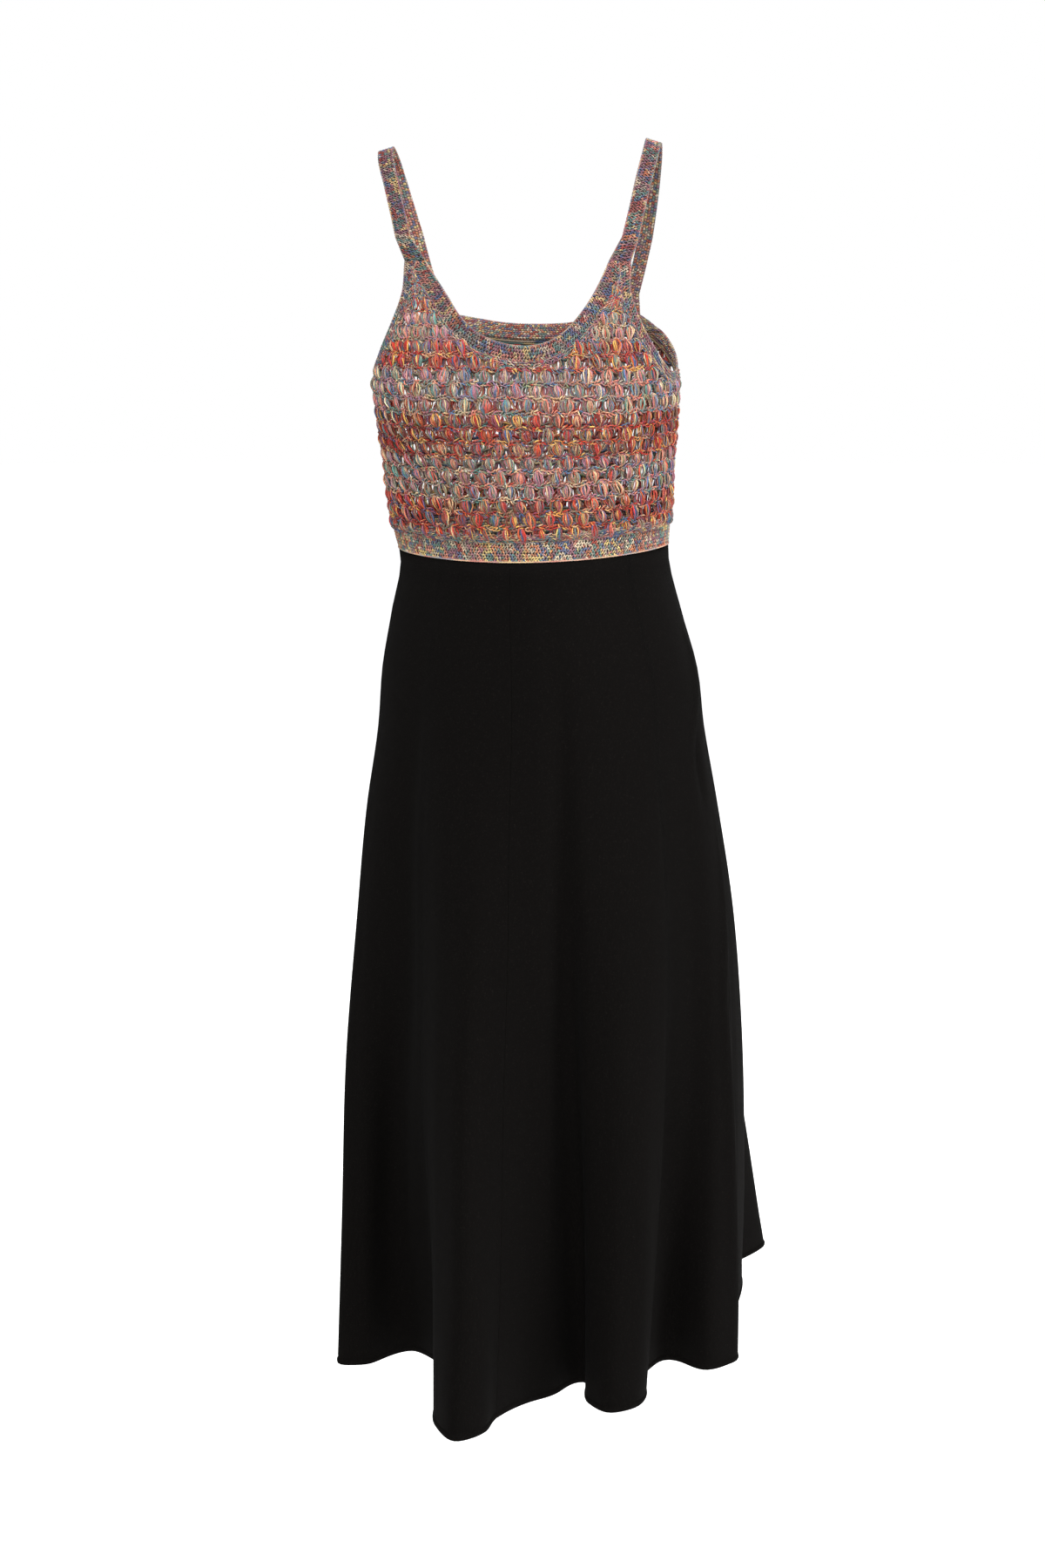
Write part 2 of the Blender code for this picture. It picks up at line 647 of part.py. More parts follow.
def hem_table():
    """Hem rows with a knot each: the distance along the hem, x, y and the hip angle, wrapped round."""
    rows = np.array([row[:3] for row in HEM_FOLDS])
    across, front = rows[:, 0], rows[:, 1]
    x = across * math.cos(HEM_TURN) + front * math.sin(HEM_TURN)
    y = across * math.sin(HEM_TURN) - front * math.cos(HEM_TURN)
    values = np.stack([x, y, np.radians(rows[:, 2])], axis=-1)
    turn = np.array([0.0, 0.0, 2 * math.pi])
    values = np.concatenate([values[-2:] - turn, values, values[:3] + turn])
    steps = np.linalg.norm(np.diff(values[:, :2], axis=0), axis=1)
    knots = np.concatenate([[0.0], np.cumsum(steps)])
    return knots - knots[2], values


def hem_at(places, knots, values):
    """x, y and the hip angle at places along the hem."""
    return through(np.column_stack([knots, values]).tolist(), places).T


def skirt_points(places, knots, values):
    """The inner surface of the skirt at places along the hem, for each level from waist to hem."""
    x, y, angle = hem_at(places, knots, values)
    behind = np.clip((y - BACK_RISE_START) / BACK_RISE_RUN, 0.0, 1.0)
    hem = np.stack([x, y, HEM_LEVEL + BACK_RISE * behind**2 * (3.0 - 2.0 * behind)], axis=-1)
    levels = np.array((SKIRT_TOP,) + SKIRT_LEVELS + (HEM_LEVEL,))[:, None]
    share = np.clip((FOLD_TOP - levels) / (FOLD_TOP - HEM_LEVEL), 0.0, 1.0) ** FOLD_EASE
    return body(angle[None], levels) + share[..., None] * (hem - body(angle, HEM_LEVEL))[None]


def make_skirt():
    """Three skirt panels: two in front with a centre seam, and the back."""
    knots, values = hem_table()
    starts = [(knots[2 + k], row[3]) for k, row in enumerate(HEM_FOLDS) if row[3]]
    ends = [place for place, _ in starts[1:]] + [knots[2 + len(HEM_FOLDS)]]
    for (start, name), end in zip(starts, ends):
        count = round((end - start) / HEM_COLUMN) + 1
        places = np.linspace(start, end, count)
        step = 1e-4
        inner = skirt_points(places, knots, values)
        along = skirt_points(places + step, knots, values) - skirt_points(places - step, knots, values)
        down = np.gradient(inner, axis=0)
        normal = unit(np.cross(down, along))
        normal[0] = body_normal(hem_at(places, knots, values)[2], SKIRT_TOP)
        inner = trimmed(inner)
        wall(name, inner + normal * SKIRT_WALL, inner, "skirt_knit")


def trimmed(grid):
    """A grid whose first and last columns are drawn in by half a seam gap."""
    grid = grid.copy()
    grid[:, 0] += unit(grid[:, 1] - grid[:, 0]) * SEAM_GAP / 2
    grid[:, -1] += unit(grid[:, -2] - grid[:, -1]) * SEAM_GAP / 2
    return grid


def make_dress():
    """Build the whole dress in its own collection."""
    clear_scene()
    collection = bpy.data.collections.new(COLLECTION)
    bpy.context.scene.collection.children.link(collection)
    make_bodice_front()
    make_bodice_back()
    make_bands()
    for side, name in ((-1, "left"), (1, "right")):
        make_strap(side, name)
    make_skirt()


make_dress()
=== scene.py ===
"""A worn knit dress: a crocheted puff-stitch bodice on two straps over a flared, plain knit skirt.

Metres, +Z up, and the dress faces -Y. Every piece is worked out on one body surface, given by an angle
round the body (0 at centre front, 90 degrees at the +X side) and a level; the crochet is strands of
yarn laid on that surface, and the skirt leaves it below the hips in long folds.
"""

import sys
import json
import logging
import math
from collections.abc import Callable
from dataclasses import dataclass, field
from enum import Enum
from functools import partial

import bpy
import numpy as np
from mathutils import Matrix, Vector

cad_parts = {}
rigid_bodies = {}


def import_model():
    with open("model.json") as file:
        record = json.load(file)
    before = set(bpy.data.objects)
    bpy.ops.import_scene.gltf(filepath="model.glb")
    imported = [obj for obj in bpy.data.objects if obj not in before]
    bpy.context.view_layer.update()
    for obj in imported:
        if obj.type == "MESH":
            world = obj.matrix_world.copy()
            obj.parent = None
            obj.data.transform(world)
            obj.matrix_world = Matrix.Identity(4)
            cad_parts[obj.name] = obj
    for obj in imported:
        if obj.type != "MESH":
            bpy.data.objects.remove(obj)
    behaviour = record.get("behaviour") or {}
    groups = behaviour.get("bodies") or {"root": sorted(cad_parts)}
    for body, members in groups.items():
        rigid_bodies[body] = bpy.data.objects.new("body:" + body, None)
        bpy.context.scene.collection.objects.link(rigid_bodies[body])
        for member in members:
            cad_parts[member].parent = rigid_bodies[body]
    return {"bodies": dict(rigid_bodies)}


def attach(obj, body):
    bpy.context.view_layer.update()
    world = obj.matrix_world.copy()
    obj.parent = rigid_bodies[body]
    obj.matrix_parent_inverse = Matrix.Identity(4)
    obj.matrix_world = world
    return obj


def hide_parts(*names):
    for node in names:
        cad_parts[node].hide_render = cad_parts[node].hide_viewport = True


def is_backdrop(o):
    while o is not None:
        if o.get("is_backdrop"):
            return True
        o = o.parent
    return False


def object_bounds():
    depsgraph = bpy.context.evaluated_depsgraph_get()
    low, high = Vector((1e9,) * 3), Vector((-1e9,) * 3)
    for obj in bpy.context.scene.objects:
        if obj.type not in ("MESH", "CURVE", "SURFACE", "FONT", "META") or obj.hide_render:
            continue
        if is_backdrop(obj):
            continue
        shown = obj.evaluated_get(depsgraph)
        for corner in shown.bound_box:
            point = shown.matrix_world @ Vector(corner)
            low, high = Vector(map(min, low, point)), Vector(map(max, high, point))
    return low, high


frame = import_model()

Array, Rng = np.ndarray, np.random.Generator
Colour = tuple[float, float, float]
Object, Mesh, Material = bpy.types.Object, bpy.types.Mesh, bpy.types.Material
Tree, Node, Socket = bpy.types.NodeTree, bpy.types.Node, bpy.types.NodeSocket
LOG = logging.getLogger("knit_dress")

SIDES = {-1: "left", 1: "right"}
TURN = 2 * math.pi
SEAM_GAP = 0.0003
CURVE_POINTS = 160
ROUND_POINTS = 361
TIP_STEPS = 2000
JOINT_STATIONS = 8
YARN_SIDES = 4
LEAST_LENGTH = 1e-12
LEAST_SQUARE = 1e-18


def through(rows: Array | tuple, at: Array) -> Array:
    """A smooth curve through table rows: cubic pieces whose slopes are the table's own gradient.

    Args:
        rows: Table rows; the first column is the knot and the rest are its values.
        at: Places where the curve is wanted; beyond the table it keeps its end value.

    Returns:
        The values at each place, with one more axis than the places.
    """
    table = np.array(sorted(np.asarray(rows, float).tolist()), dtype=float)
    knots, values = table[:, 0], table[:, 1:]
    slopes = np.gradient(values, knots, axis=0)
    at = np.clip(np.asarray(at, dtype=float), knots[0], knots[-1])
    low = np.clip(np.searchsorted(knots, at, side="right") - 1, 0, len(knots) - 2)
    span = (knots[low + 1] - knots[low])[..., None]
    t = (at - knots[low])[..., None] / span
    return (
        (2 * t**3 - 3 * t**2 + 1) * values[low]
        + (t**3 - 2 * t**2 + t) * span * slopes[low]
        + (3 * t**2 - 2 * t**3) * values[low + 1]
        + (t**3 - t**2) * span * slopes[low + 1]
    )


def unit(vectors: Array) -> Array:
    """Vectors scaled to length 1."""
    return vectors / np.maximum(np.linalg.norm(vectors, axis=-1, keepdims=True), LEAST_LENGTH)


def run_along(points: Array) -> Array:
    """Distance along a line of points from its first one."""
    return np.concatenate([[0.0], np.cumsum(np.linalg.norm(np.diff(points, axis=0), axis=1))])


def even(count: int) -> Array:
    """Numbers evenly spaced from 0 to 1."""
    return np.linspace(0.0, 1.0, count)


def stacked(*arrays: Array | float) -> Array:
    """Arrays side by side on a new last axis, once they are brought to one shape."""
    return np.stack(np.broadcast_arrays(*arrays), axis=-1)


def clamped(x: Array) -> Array:
    """Numbers held between 0 and 1."""
    return np.clip(x, 0.0, 1.0)


def smooth_step(x: Array) -> Array:
    """0 below 0, 1 above 1, and the cubic 3x^2 - 2x^3 between."""
    x = clamped(x)
    return x * x * (3.0 - 2.0 * x)


def bell(x: Array) -> Array:
    """A bell over 0: exp(-x^2)."""
    return np.exp(-(x**2))


def arched(t: Array) -> Array:
    """An arch from 0 at t = 0 over 1 in the middle to 0 at t = 1: sin(pi t)."""
    return np.sin(math.pi * t)


def grid_area(grid: Array) -> float:
    """Area of a grid of points: the cross product of the steps along its rows and down its columns."""
    across, down = np.diff(grid, axis=1)[:-1], np.diff(grid, axis=0)[:, :-1]
    return float(np.linalg.norm(np.cross(across, down), axis=-1).sum())


@dataclass(frozen=True)
class BodyForm:
    """The surface that the worn cloth lies on, with its waistline and the soft cups of the bodice.

    A curve on it is an array with rows of (angle, level).
    """

    waist_top: float = -0.3590
    waist_dip: float = 0.0072
    waist_tilt: float = 0.0032
    waist_fade: float = 0.1400
    cup_angle: float = math.radians(37.0)
    cup_spread: float = math.radians(23.0)
    cup_level: float = -0.233
    cup_height: float = 0.050
    cup_raised: float = 0.014
    cup_sideways: float = 0.5
    step: float = 1e-4
    rings: tuple = (
        # height, half width, front, back, middle
        (-0.06, 0.136, 0.046, 0.07, 0.0), (-0.107, 0.144, 0.07, 0.086, 0.001),
        (-0.15, 0.147, 0.092, 0.097, 0.0012), (-0.19, 0.1465, 0.107, 0.101, 0.0018),
        (-0.235, 0.1445, 0.113, 0.099, 0.0035), (-0.3, 0.1382, 0.104, 0.092, 0.006),
        (-0.361, 0.1335, 0.098, 0.087, 0.0088), (-0.386, 0.13, 0.098, 0.088, 0.0112),
        (-0.445, 0.1415, 0.104, 0.098, 0.0135), (-0.5, 0.1545, 0.111, 0.107, 0.017),
        (-0.56, 0.1605, 0.118, 0.114, 0.0185), (-0.64, 0.173, 0.128, 0.128, 0.0195),
        (-0.76, 0.1875, 0.143, 0.158, 0.0235), (-0.9, 0.1995, 0.154, 0.19, 0.025),
        (-1.08, 0.207, 0.159, 0.22, 0.0285), (-1.2415, 0.212, 0.16, 0.24, 0.03),
    )

    def waist_shift(self, angle: Array) -> Array:
        """How far the waistline stands above its height at the sides: a tilt less a dip at the front."""
        return self.waist_tilt * np.sin(angle) - self.waist_dip * np.maximum(np.cos(angle), 0.0) ** 2

    def points(self, angle: Array, level: Array) -> Array:
        """Points of the surface: an oval at each level, with two soft bumps for the cups.

        Args:
            angle: Angles round the body, in radians.
            level: Heights, which dip with the waistline near it.

        Returns:
            Points in metres, with a last axis of three.
        """
        angle, level = np.broadcast_arrays(np.asarray(angle, float), np.asarray(level, float))
        fade = clamped(1.0 - np.abs(level - self.waist_top) / self.waist_fade)
        half_width, front, back, middle = np.moveaxis(through(self.rings, level), -1, 0)
        bust = sum(bell((angle - side * self.cup_angle) / self.cup_spread) for side in SIDES)
        cup = self.cup_raised * bust * bell((level - self.cup_level) / self.cup_height)
        depth = np.where(np.cos(angle) > 0.0, front, back)
        across = middle + (half_width + self.cup_sideways * cup) * np.sin(angle)
        height = level + fade * self.waist_shift(angle)
        return stacked(across, -(depth + cup) * np.cos(angle), height)

    def steps(self, angle: Array, level: Array) -> tuple[Array, Array]:
        """Derivatives of the surface by angle and by level."""
        step = self.step
        by_angle = (self.points(angle + step, level) - self.points(angle - step, level)) / (2 * step)
        by_level = (self.points(angle, level + step) - self.points(angle, level - step)) / (2 * step)
        return by_angle, by_level

    def scale(self, angle: Array, level: Array) -> Array:
        """Metres to a radian and metres to a unit of level: the lengths of the two derivatives."""
        return np.stack([np.linalg.norm(part, axis=-1) for part in self.steps(angle, level)], axis=-1)

    def normals(self, angle: Array, level: Array) -> Array:
        """Outward normals: the cross product of the two derivatives."""
        return unit(np.cross(*self.steps(angle, level)))

    def raised(self, angle: Array, level: Array, lift: Array) -> Array:
        """Points of the surface moved out along its normal by a lift in metres."""
        return self.points(angle, level) + self.normals(angle, level) * lift[..., None]

    def heading(self, curve: Array) -> tuple[Array, Array]:
        """A curve's unit direction on the surface at each row, and the surface's scale there."""
        scale = self.scale(*curve.T)
        return unit(np.gradient(curve, axis=0) * scale), scale

    def offset(self, curve: Array, width: float) -> Array:
        """A curve moved sideways on the surface by a width, to the right of its direction."""
        along, scale = self.heading(curve)
        return curve + stacked(along[:, 1], -along[:, 0]) * width / scale

    def moved_round(self, curve: Array, distance: float) -> Array:
        """A curve moved round the body by a distance."""
        turn = distance / self.scale(*curve.T)[:, 0]
        return curve + stacked(turn, np.zeros(len(curve)))

    def run(self, curve: Array) -> Array:
        """Distance along the surface from a curve's first row to each of its rows."""
        return run_along(self.points(*curve.T))

    def resample(self, curve: Array, count: int) -> Array:
        """A curve with count rows evenly spaced along the surface."""
        run = self.run(curve)
        at = np.linspace(0.0, run[-1], count)
        return np.stack([np.interp(at, run, values) for values in curve.T], axis=-1)

    def smooth_curve(self, rows: list | tuple) -> Array:
        """A fine curve through table rows whose angles are given in degrees."""
        points = np.array([(math.radians(angle), level) for angle, level in rows])
        knots = self.run(points)
        fine = through(np.column_stack([knots, points]), np.linspace(0.0, knots[-1], CURVE_POINTS))
        return self.resample(fine, CURVE_POINTS)


def on_side(curve: Array, side: int) -> Array:
    """A curve made for the +X side, or its mirror image on the -X side."""
    return curve * np.array([side, 1.0])


def below(curve: Array, level: float) -> Array:
    """The rows of a curve from where it first passes below a level, with that point added."""
    first = int(np.argmax(curve[:, 1] < level))
    before, after = curve[first - 1], curve[first]
    share = (before[1] - level) / (before[1] - after[1])
    return np.concatenate([[before + (after - before) * share], curve[first:]])


def cut_at(curve: Array, angle: float) -> tuple[Array, int]:
    """The rows of a curve up to where it passes an angle, with that point added.

    Args:
        curve: Rows of (angle, level).
        angle: The angle, in radians.

    Returns:
        The rows, and the number of the first row past the angle.
    """
    first = int(np.argmax(np.abs(curve[:, 0]) > abs(angle)))
    before, after = curve[first - 1], curve[first]
    share = (angle - before[0]) / (after[0] - before[0])
    return np.concatenate([curve[:first], [before + (after - before) * share]]), first


@dataclass(frozen=True)
class CutLines:
    """The edges and seams of the bodice, as curves of (angle, level) rows on the body surface."""

    form: BodyForm = BodyForm()
    neck_band: float = 0.0160
    armhole_band: float = 0.0100
    waistband: float = 0.0203
    station: float = 0.0110
    flat_radius: float = 0.140
    joint_split: float = 0.42
    back_joint_angle: float = 145.0
    back_seam_level: float = -0.1765
    neckline_rows: tuple = (
        # level, half angle, middle angle
        (-0.107, 36.9, 0.35), (-0.1385, 27.5, 2.5), (-0.157, 21.9, 2.7), (-0.1695, 16.8, 3.2),
        (-0.176, 12.6, 3.8), (-0.181, 7.4, 4.5), (-0.183, 3.0, 4.9), (-0.1835, 0.0, 5.0),
    )
    armhole_rows: tuple = (
        # angle, level
        (47.8, -0.107), (47.6, -0.1385), (51.2, -0.157), (55.0, -0.1705), (60.5, -0.185), (67.0, -0.198),
        (77.0, -0.2095), (88.0, -0.2085), (98.0, -0.199), (110.0, -0.185), (122.0, -0.1715), (134.0, -0.16),
    )
    back_neckline_rows: tuple = (
        # angle, level
        (134.0, -0.16), (140.0, -0.16), (146.0, -0.1605), (155.0, -0.164), (167.0, -0.169), (180.0, -0.1705),
    )

    @property
    def side_gap(self) -> float:
        """Half of a side seam's gap, as an angle."""
        return SEAM_GAP / 2 / self.flat_radius

    @property
    def band_end(self) -> float:
        """The level at which an armhole band ends, a seam gap below the back neck band."""
        return self.back_seam_level - SEAM_GAP

    def stationed(self, curve: Array) -> Array:
        """A curve with a row at about each band station."""
        return self.form.resample(curve, max(2, round(float(self.form.run(curve)[-1]) / self.station) + 1))

    def neckline(self) -> Array:
        """The front neckline from the joint on the -X side to the one on the +X side."""
        left = [(middle - half, level) for level, half, middle in self.neckline_rows]
        right = [(middle + half, level) for level, half, middle in reversed(self.neckline_rows[:-1])]
        return self.form.smooth_curve(left + right)

    def back_neckline(self) -> Array:
        """The back's top edge from its +X corner round to its -X corner."""
        left = [(360.0 - angle, level) for angle, level in reversed(self.back_neckline_rows[:-1])]
        return self.form.smooth_curve(list(self.back_neckline_rows) + left)

    def armhole(self) -> Array:
        """The +X armhole's edge from the front joint under the arm to the back's top corner."""
        return self.form.smooth_curve(self.armhole_rows)

    def tip_level(self, neck_seam: Array, arm_seam: Array, side: int) -> float:
        """The level at which the two bands' seams cross below a front strap joint.

        Args:
            neck_seam: The neck band's seam, from the joint down.
            arm_seam: The armhole band's seam, from the joint down.
            side: 1 for the +X side, -1 for the other.

        Returns:
            The level: the first at which the armhole's seam lies farther out than the neck's.
        """
        neck = neck_seam[: int(np.argmin(neck_seam[:, 1])) + 1]
        arm = arm_seam[: int(np.argmin(arm_seam[:, 1])) + 1]
        levels = np.linspace(min(neck[0, 1], arm[0, 1]), max(neck[-1, 1], arm[-1, 1]), TIP_STEPS)
        neck_angle, arm_angle = (np.interp(-levels, -seam[:, 1], seam[:, 0]) for seam in (neck, arm))
        return float(levels[int(np.argmax(side * (arm_angle - neck_angle) > 0.0))])

    def arm_seam_line(self, side: int, extra: float = 0.0) -> Array:
        """An armhole band's inner edge before its ends are cut, drawn in by extra."""
        return self.form.offset(on_side(self.armhole(), side), side * (self.armhole_band + extra))

    def front_corner(self, side: int) -> tuple[Array, Array]:
        """Seams of the neck and armhole bands from where they cross below one front strap joint.

        Args:
            side: 1 for the +X side, -1 for the other.

        Returns:
            The neck seam down to the neckline's lowest point, and the armhole seam to the back band.
        """
        neck = self.neckline()
        middle = int(np.argmin(neck[:, 1]))
        half = neck[middle:][::-1] if side > 0 else neck[: middle + 1]
        neck_seam = self.form.offset(half, -side * self.neck_band)
        arm_seam = self.arm_seam_line(side)
        level = self.tip_level(neck_seam, arm_seam, side)
        arm_seam = below(arm_seam[::-1], self.band_end)[::-1]
        return self.stationed(below(neck_seam, level)), self.stationed(below(arm_seam, level))

    def panel_corner(self, side: int) -> tuple[Array, Array]:
        """The puff panel's edges along front_corner's two seams, a seam gap away from them."""
        neck_seam, arm_seam = self.front_corner(side)
        neck_edge = self.form.offset(neck_seam, -side * SEAM_GAP)
        arm_edge = self.form.offset(arm_seam, side * SEAM_GAP)
        arm_edge[-1] = below(self.arm_seam_line(side, SEAM_GAP)[::-1], self.band_end)[0]
        level = self.tip_level(neck_edge, arm_edge, side)
        return below(neck_edge, level), below(arm_edge, level)

    def joint_ends(self, side: int) -> tuple[Array, Array]:
        """The neck side's and the arm side's end of a front strap joint, as (angle, level)."""
        return self.neckline()[-1 if side > 0 else 0], on_side(self.armhole()[:1], side)[0]

    def back_joint(self) -> Array:
        """The +X back strap joint on the back band's edge, from the neck side to the arm side."""
        edge = self.form.resample(self.back_neckline(), len(self.back_band_seam()))
        angles = np.radians(np.linspace(self.back_joint_angle, self.back_neckline_rows[0][0], 3))
        return stacked(angles, np.interp(angles, edge[:, 0], edge[:, 1]))

    def seam_start(self, side: int, seam: Array) -> Array:
        """The short line from where the two bands part on a front strap joint to a seam's first row."""
        neck_end, arm_end = self.joint_ends(side)
        return np.linspace(neck_end + (arm_end - neck_end) * self.joint_split, seam[0], JOINT_STATIONS)

    def neck_band_seam(self) -> Array:
        """The front neck band's outer edge, from the -X joint down and up to the +X joint."""
        halves = []
        for side in SIDES:
            seam, _ = self.front_corner(side)
            halves.append(np.concatenate([self.seam_start(side, seam)[:-1], seam]))
        return np.concatenate([halves[0], halves[1][::-1][1:]])

    def armhole_band_seam(self, side: int) -> Array:
        """An armhole band's inner edge, from the front joint round to the back neck band."""
        _, seam = self.front_corner(side)
        start = self.form.moved_round(self.seam_start(side, seam), side * 0.2 * SEAM_GAP)
        return np.concatenate([start, seam[1:]])

    def back_band_seam(self) -> Array:
        """The back neck band's lower edge, from armhole to armhole."""
        lower = self.form.offset(self.back_neckline(), self.neck_band)
        corner = below(self.armhole()[::-1], self.back_seam_level)[0]
        turned = np.array([TURN - corner[0], corner[1]])
        return self.stationed(np.concatenate([[corner], lower, [turned]]))

    def level_line(self, start: float, end: float, level: float) -> Array:
        """A line of even steps round the body at one level."""
        return np.linspace((start, level), (end, level), CURVE_POINTS)

    def front_outline(self) -> Array:
        """The closed outline of the front puff panel."""
        edge = TURN / 4 - self.side_gap
        corners = {side: self.panel_corner(side) for side in SIDES}
        arms = {side: cut_at(corners[side][1], side * edge)[0] for side in SIDES}
        bottom = self.level_line(-edge, edge, self.form.waist_top + SEAM_GAP)
        return np.concatenate([bottom, arms[1][::-1], corners[1][0], corners[-1][0][::-1], arms[-1]])

    def back_outline(self) -> Array:
        """The closed outline of the back puff panel."""
        gap = self.side_gap
        start, end = TURN / 4 + gap, 3 * TURN / 4 - gap
        arms = {}
        for side in SIDES:
            _, seam = self.panel_corner(side)
            front, kept = cut_at(seam, side * start)
            arms[side] = np.concatenate([front[-1:], seam[kept:]])
        arms[-1][:, 0] += TURN
        top = self.form.offset(self.back_band_seam(), SEAM_GAP)
        top = top[(top[:, 0] > arms[1][-1, 0] + gap) & (top[:, 0] < arms[-1][-1, 0] - gap)]
        bottom = self.level_line(start, end, self.form.waist_top + SEAM_GAP)
        return np.concatenate([bottom, arms[-1], top[::-1], arms[1][::-1]])


def inside_depth(points: Array, border: Array) -> Array:
    """How deep points lie inside a closed border: the distance to it, negative outside.

    Args:
        points: Rows of flat coordinates.
        border: Corners of the border, in order.

    Returns:
        One depth per point.
    """
    start, end = border, np.roll(border, -1, axis=0)
    run = end - start
    from_start = points[:, None, :] - start[None]
    along = clamped((from_start * run).sum(-1) / np.maximum((run * run).sum(-1), LEAST_SQUARE))
    far = np.linalg.norm(from_start - along[..., None] * run, axis=-1).min(axis=1)
    spans = (start[None, :, 1] > points[:, None, 1]) != (end[None, :, 1] > points[:, None, 1])
    rise = np.where(run[:, 1] == 0.0, 1.0, run[:, 1])
    cross = start[None, :, 0] + (points[:, None, 1] - start[None, :, 1]) * (run[:, 0] / rise)[None]
    inside = (spans & (points[:, None, 0] < cross)).sum(axis=1) % 2 == 1
    return np.where(inside, far, -far)


def linear(red: int, green: int, blue: int) -> Colour:
    """A screen colour of 0 to 255 as linear light, by the screen's power law with its short straight foot."""
    shares = (value / 255.0 for value in (red, green, blue))
    return tuple(s / 12.92 if s <= 0.04045 else ((s + 0.055) / 1.055) ** 2.4 for s in shares)


@dataclass(frozen=True)
class YarnDye:
    """The colours along one stretch of space-dyed yarn, and how much of it each takes."""

    colours: tuple[Colour, ...]
    shares: tuple[float, ...]
    tint: Colour

    def pick(self, rng: Rng, shape: tuple[int, ...], spread: float = 0.14) -> Array:
        """Random colours of this dye, each a little lighter or darker than the vat's.

        Args:
            rng: The seeded source of chance.
            shape: Shape of the wanted array, without the colour axis.
            spread: Standard deviation of the lightness, as a share.

        Returns:
            Linear colours with a last axis of three.
        """
        shares = np.array(self.shares) / sum(self.shares)
        found = (np.array(self.colours) * self.tint)[rng.choice(len(shares), size=shape, p=shares)]
        return clamped(found * np.exp(rng.normal(0.0, spread, shape))[..., None])

    def runs(self, rng: Rng, count: int, mean_run: float, spread: float = 0.10) -> Array:
        """Colours along a row of stitches: one colour for a few stitches, then the next.

        Args:
            rng: The seeded source of chance.
            count: How many stitches there are.
            mean_run: How many stitches a colour lasts, on average.
            spread: Standard deviation of the lightness, as a share.

        Returns:
            One linear colour per stitch.
        """
        starts = rng.random(count) < 1.0 / mean_run
        starts[0] = True
        return self.pick(rng, (int(starts.sum()),), spread)[np.cumsum(starts) - 1]


def dyed(tint: Colour, *vats: tuple[int, int, int, float]) -> YarnDye:
    """A dye from its tint and, for each colour, red, green and blue and its share of the yarn."""
    return YarnDye(tuple(linear(*vat[:3]) for vat in vats), tuple(vat[3] for vat in vats), tint)


class Dye(Enum):
    """The stretches of the space-dyed yarn, by where they fall in the bodice."""

    FIRE = dyed(
        (0.98, 1.0, 0.9),
        (196, 42, 28, 0.22), (140, 38, 32, 0.14), (214, 96, 48, 0.09), (236, 184, 96, 0.09),
        (226, 180, 142, 0.08), (136, 74, 98, 0.08), (70, 94, 146, 0.08), (92, 130, 128, 0.07),
        (148, 132, 118, 0.06), (206, 104, 88, 0.08), (116, 70, 54, 0.05),
    )
    DUSK = dyed(
        (1.09, 1.07, 0.93),
        (156, 146, 136, 0.16), (172, 112, 136, 0.17), (218, 134, 118, 0.18), (94, 144, 142, 0.12),
        (82, 112, 160, 0.11), (158, 120, 98, 0.09), (230, 202, 164, 0.1), (196, 70, 54, 0.04),
        (126, 144, 112, 0.03),
    )
    BAND = dyed(
        (0.94, 0.95, 0.88),
        (108, 148, 142, 0.15), (92, 114, 156, 0.11), (160, 108, 128, 0.13), (216, 146, 130, 0.15),
        (234, 208, 140, 0.11), (216, 138, 92, 0.07), (176, 70, 58, 0.08), (162, 150, 138, 0.11),
        (234, 214, 190, 0.09),
    )
    # The NECK stretch has nearly the band's own colours under a darker tint; the darker tint is painted shade on
    # the neck band, armholes, straps and panel rims.
    NECK = dyed(
        (0.72, 0.67, 0.64),
        (104, 150, 146, 0.18), (86, 114, 162, 0.14), (156, 104, 126, 0.14), (210, 138, 128, 0.13),
        (232, 206, 146, 0.1), (206, 124, 84, 0.05), (168, 64, 58, 0.07), (150, 142, 136, 0.11),
        (228, 210, 188, 0.08),
    )
    EDGE = dyed(
        (1.0, 1.0, 1.0),
        (226, 176, 150, 0.3), (214, 142, 128, 0.24), (230, 204, 150, 0.18), (150, 152, 168, 0.14),
        (176, 168, 156, 0.14),
    )


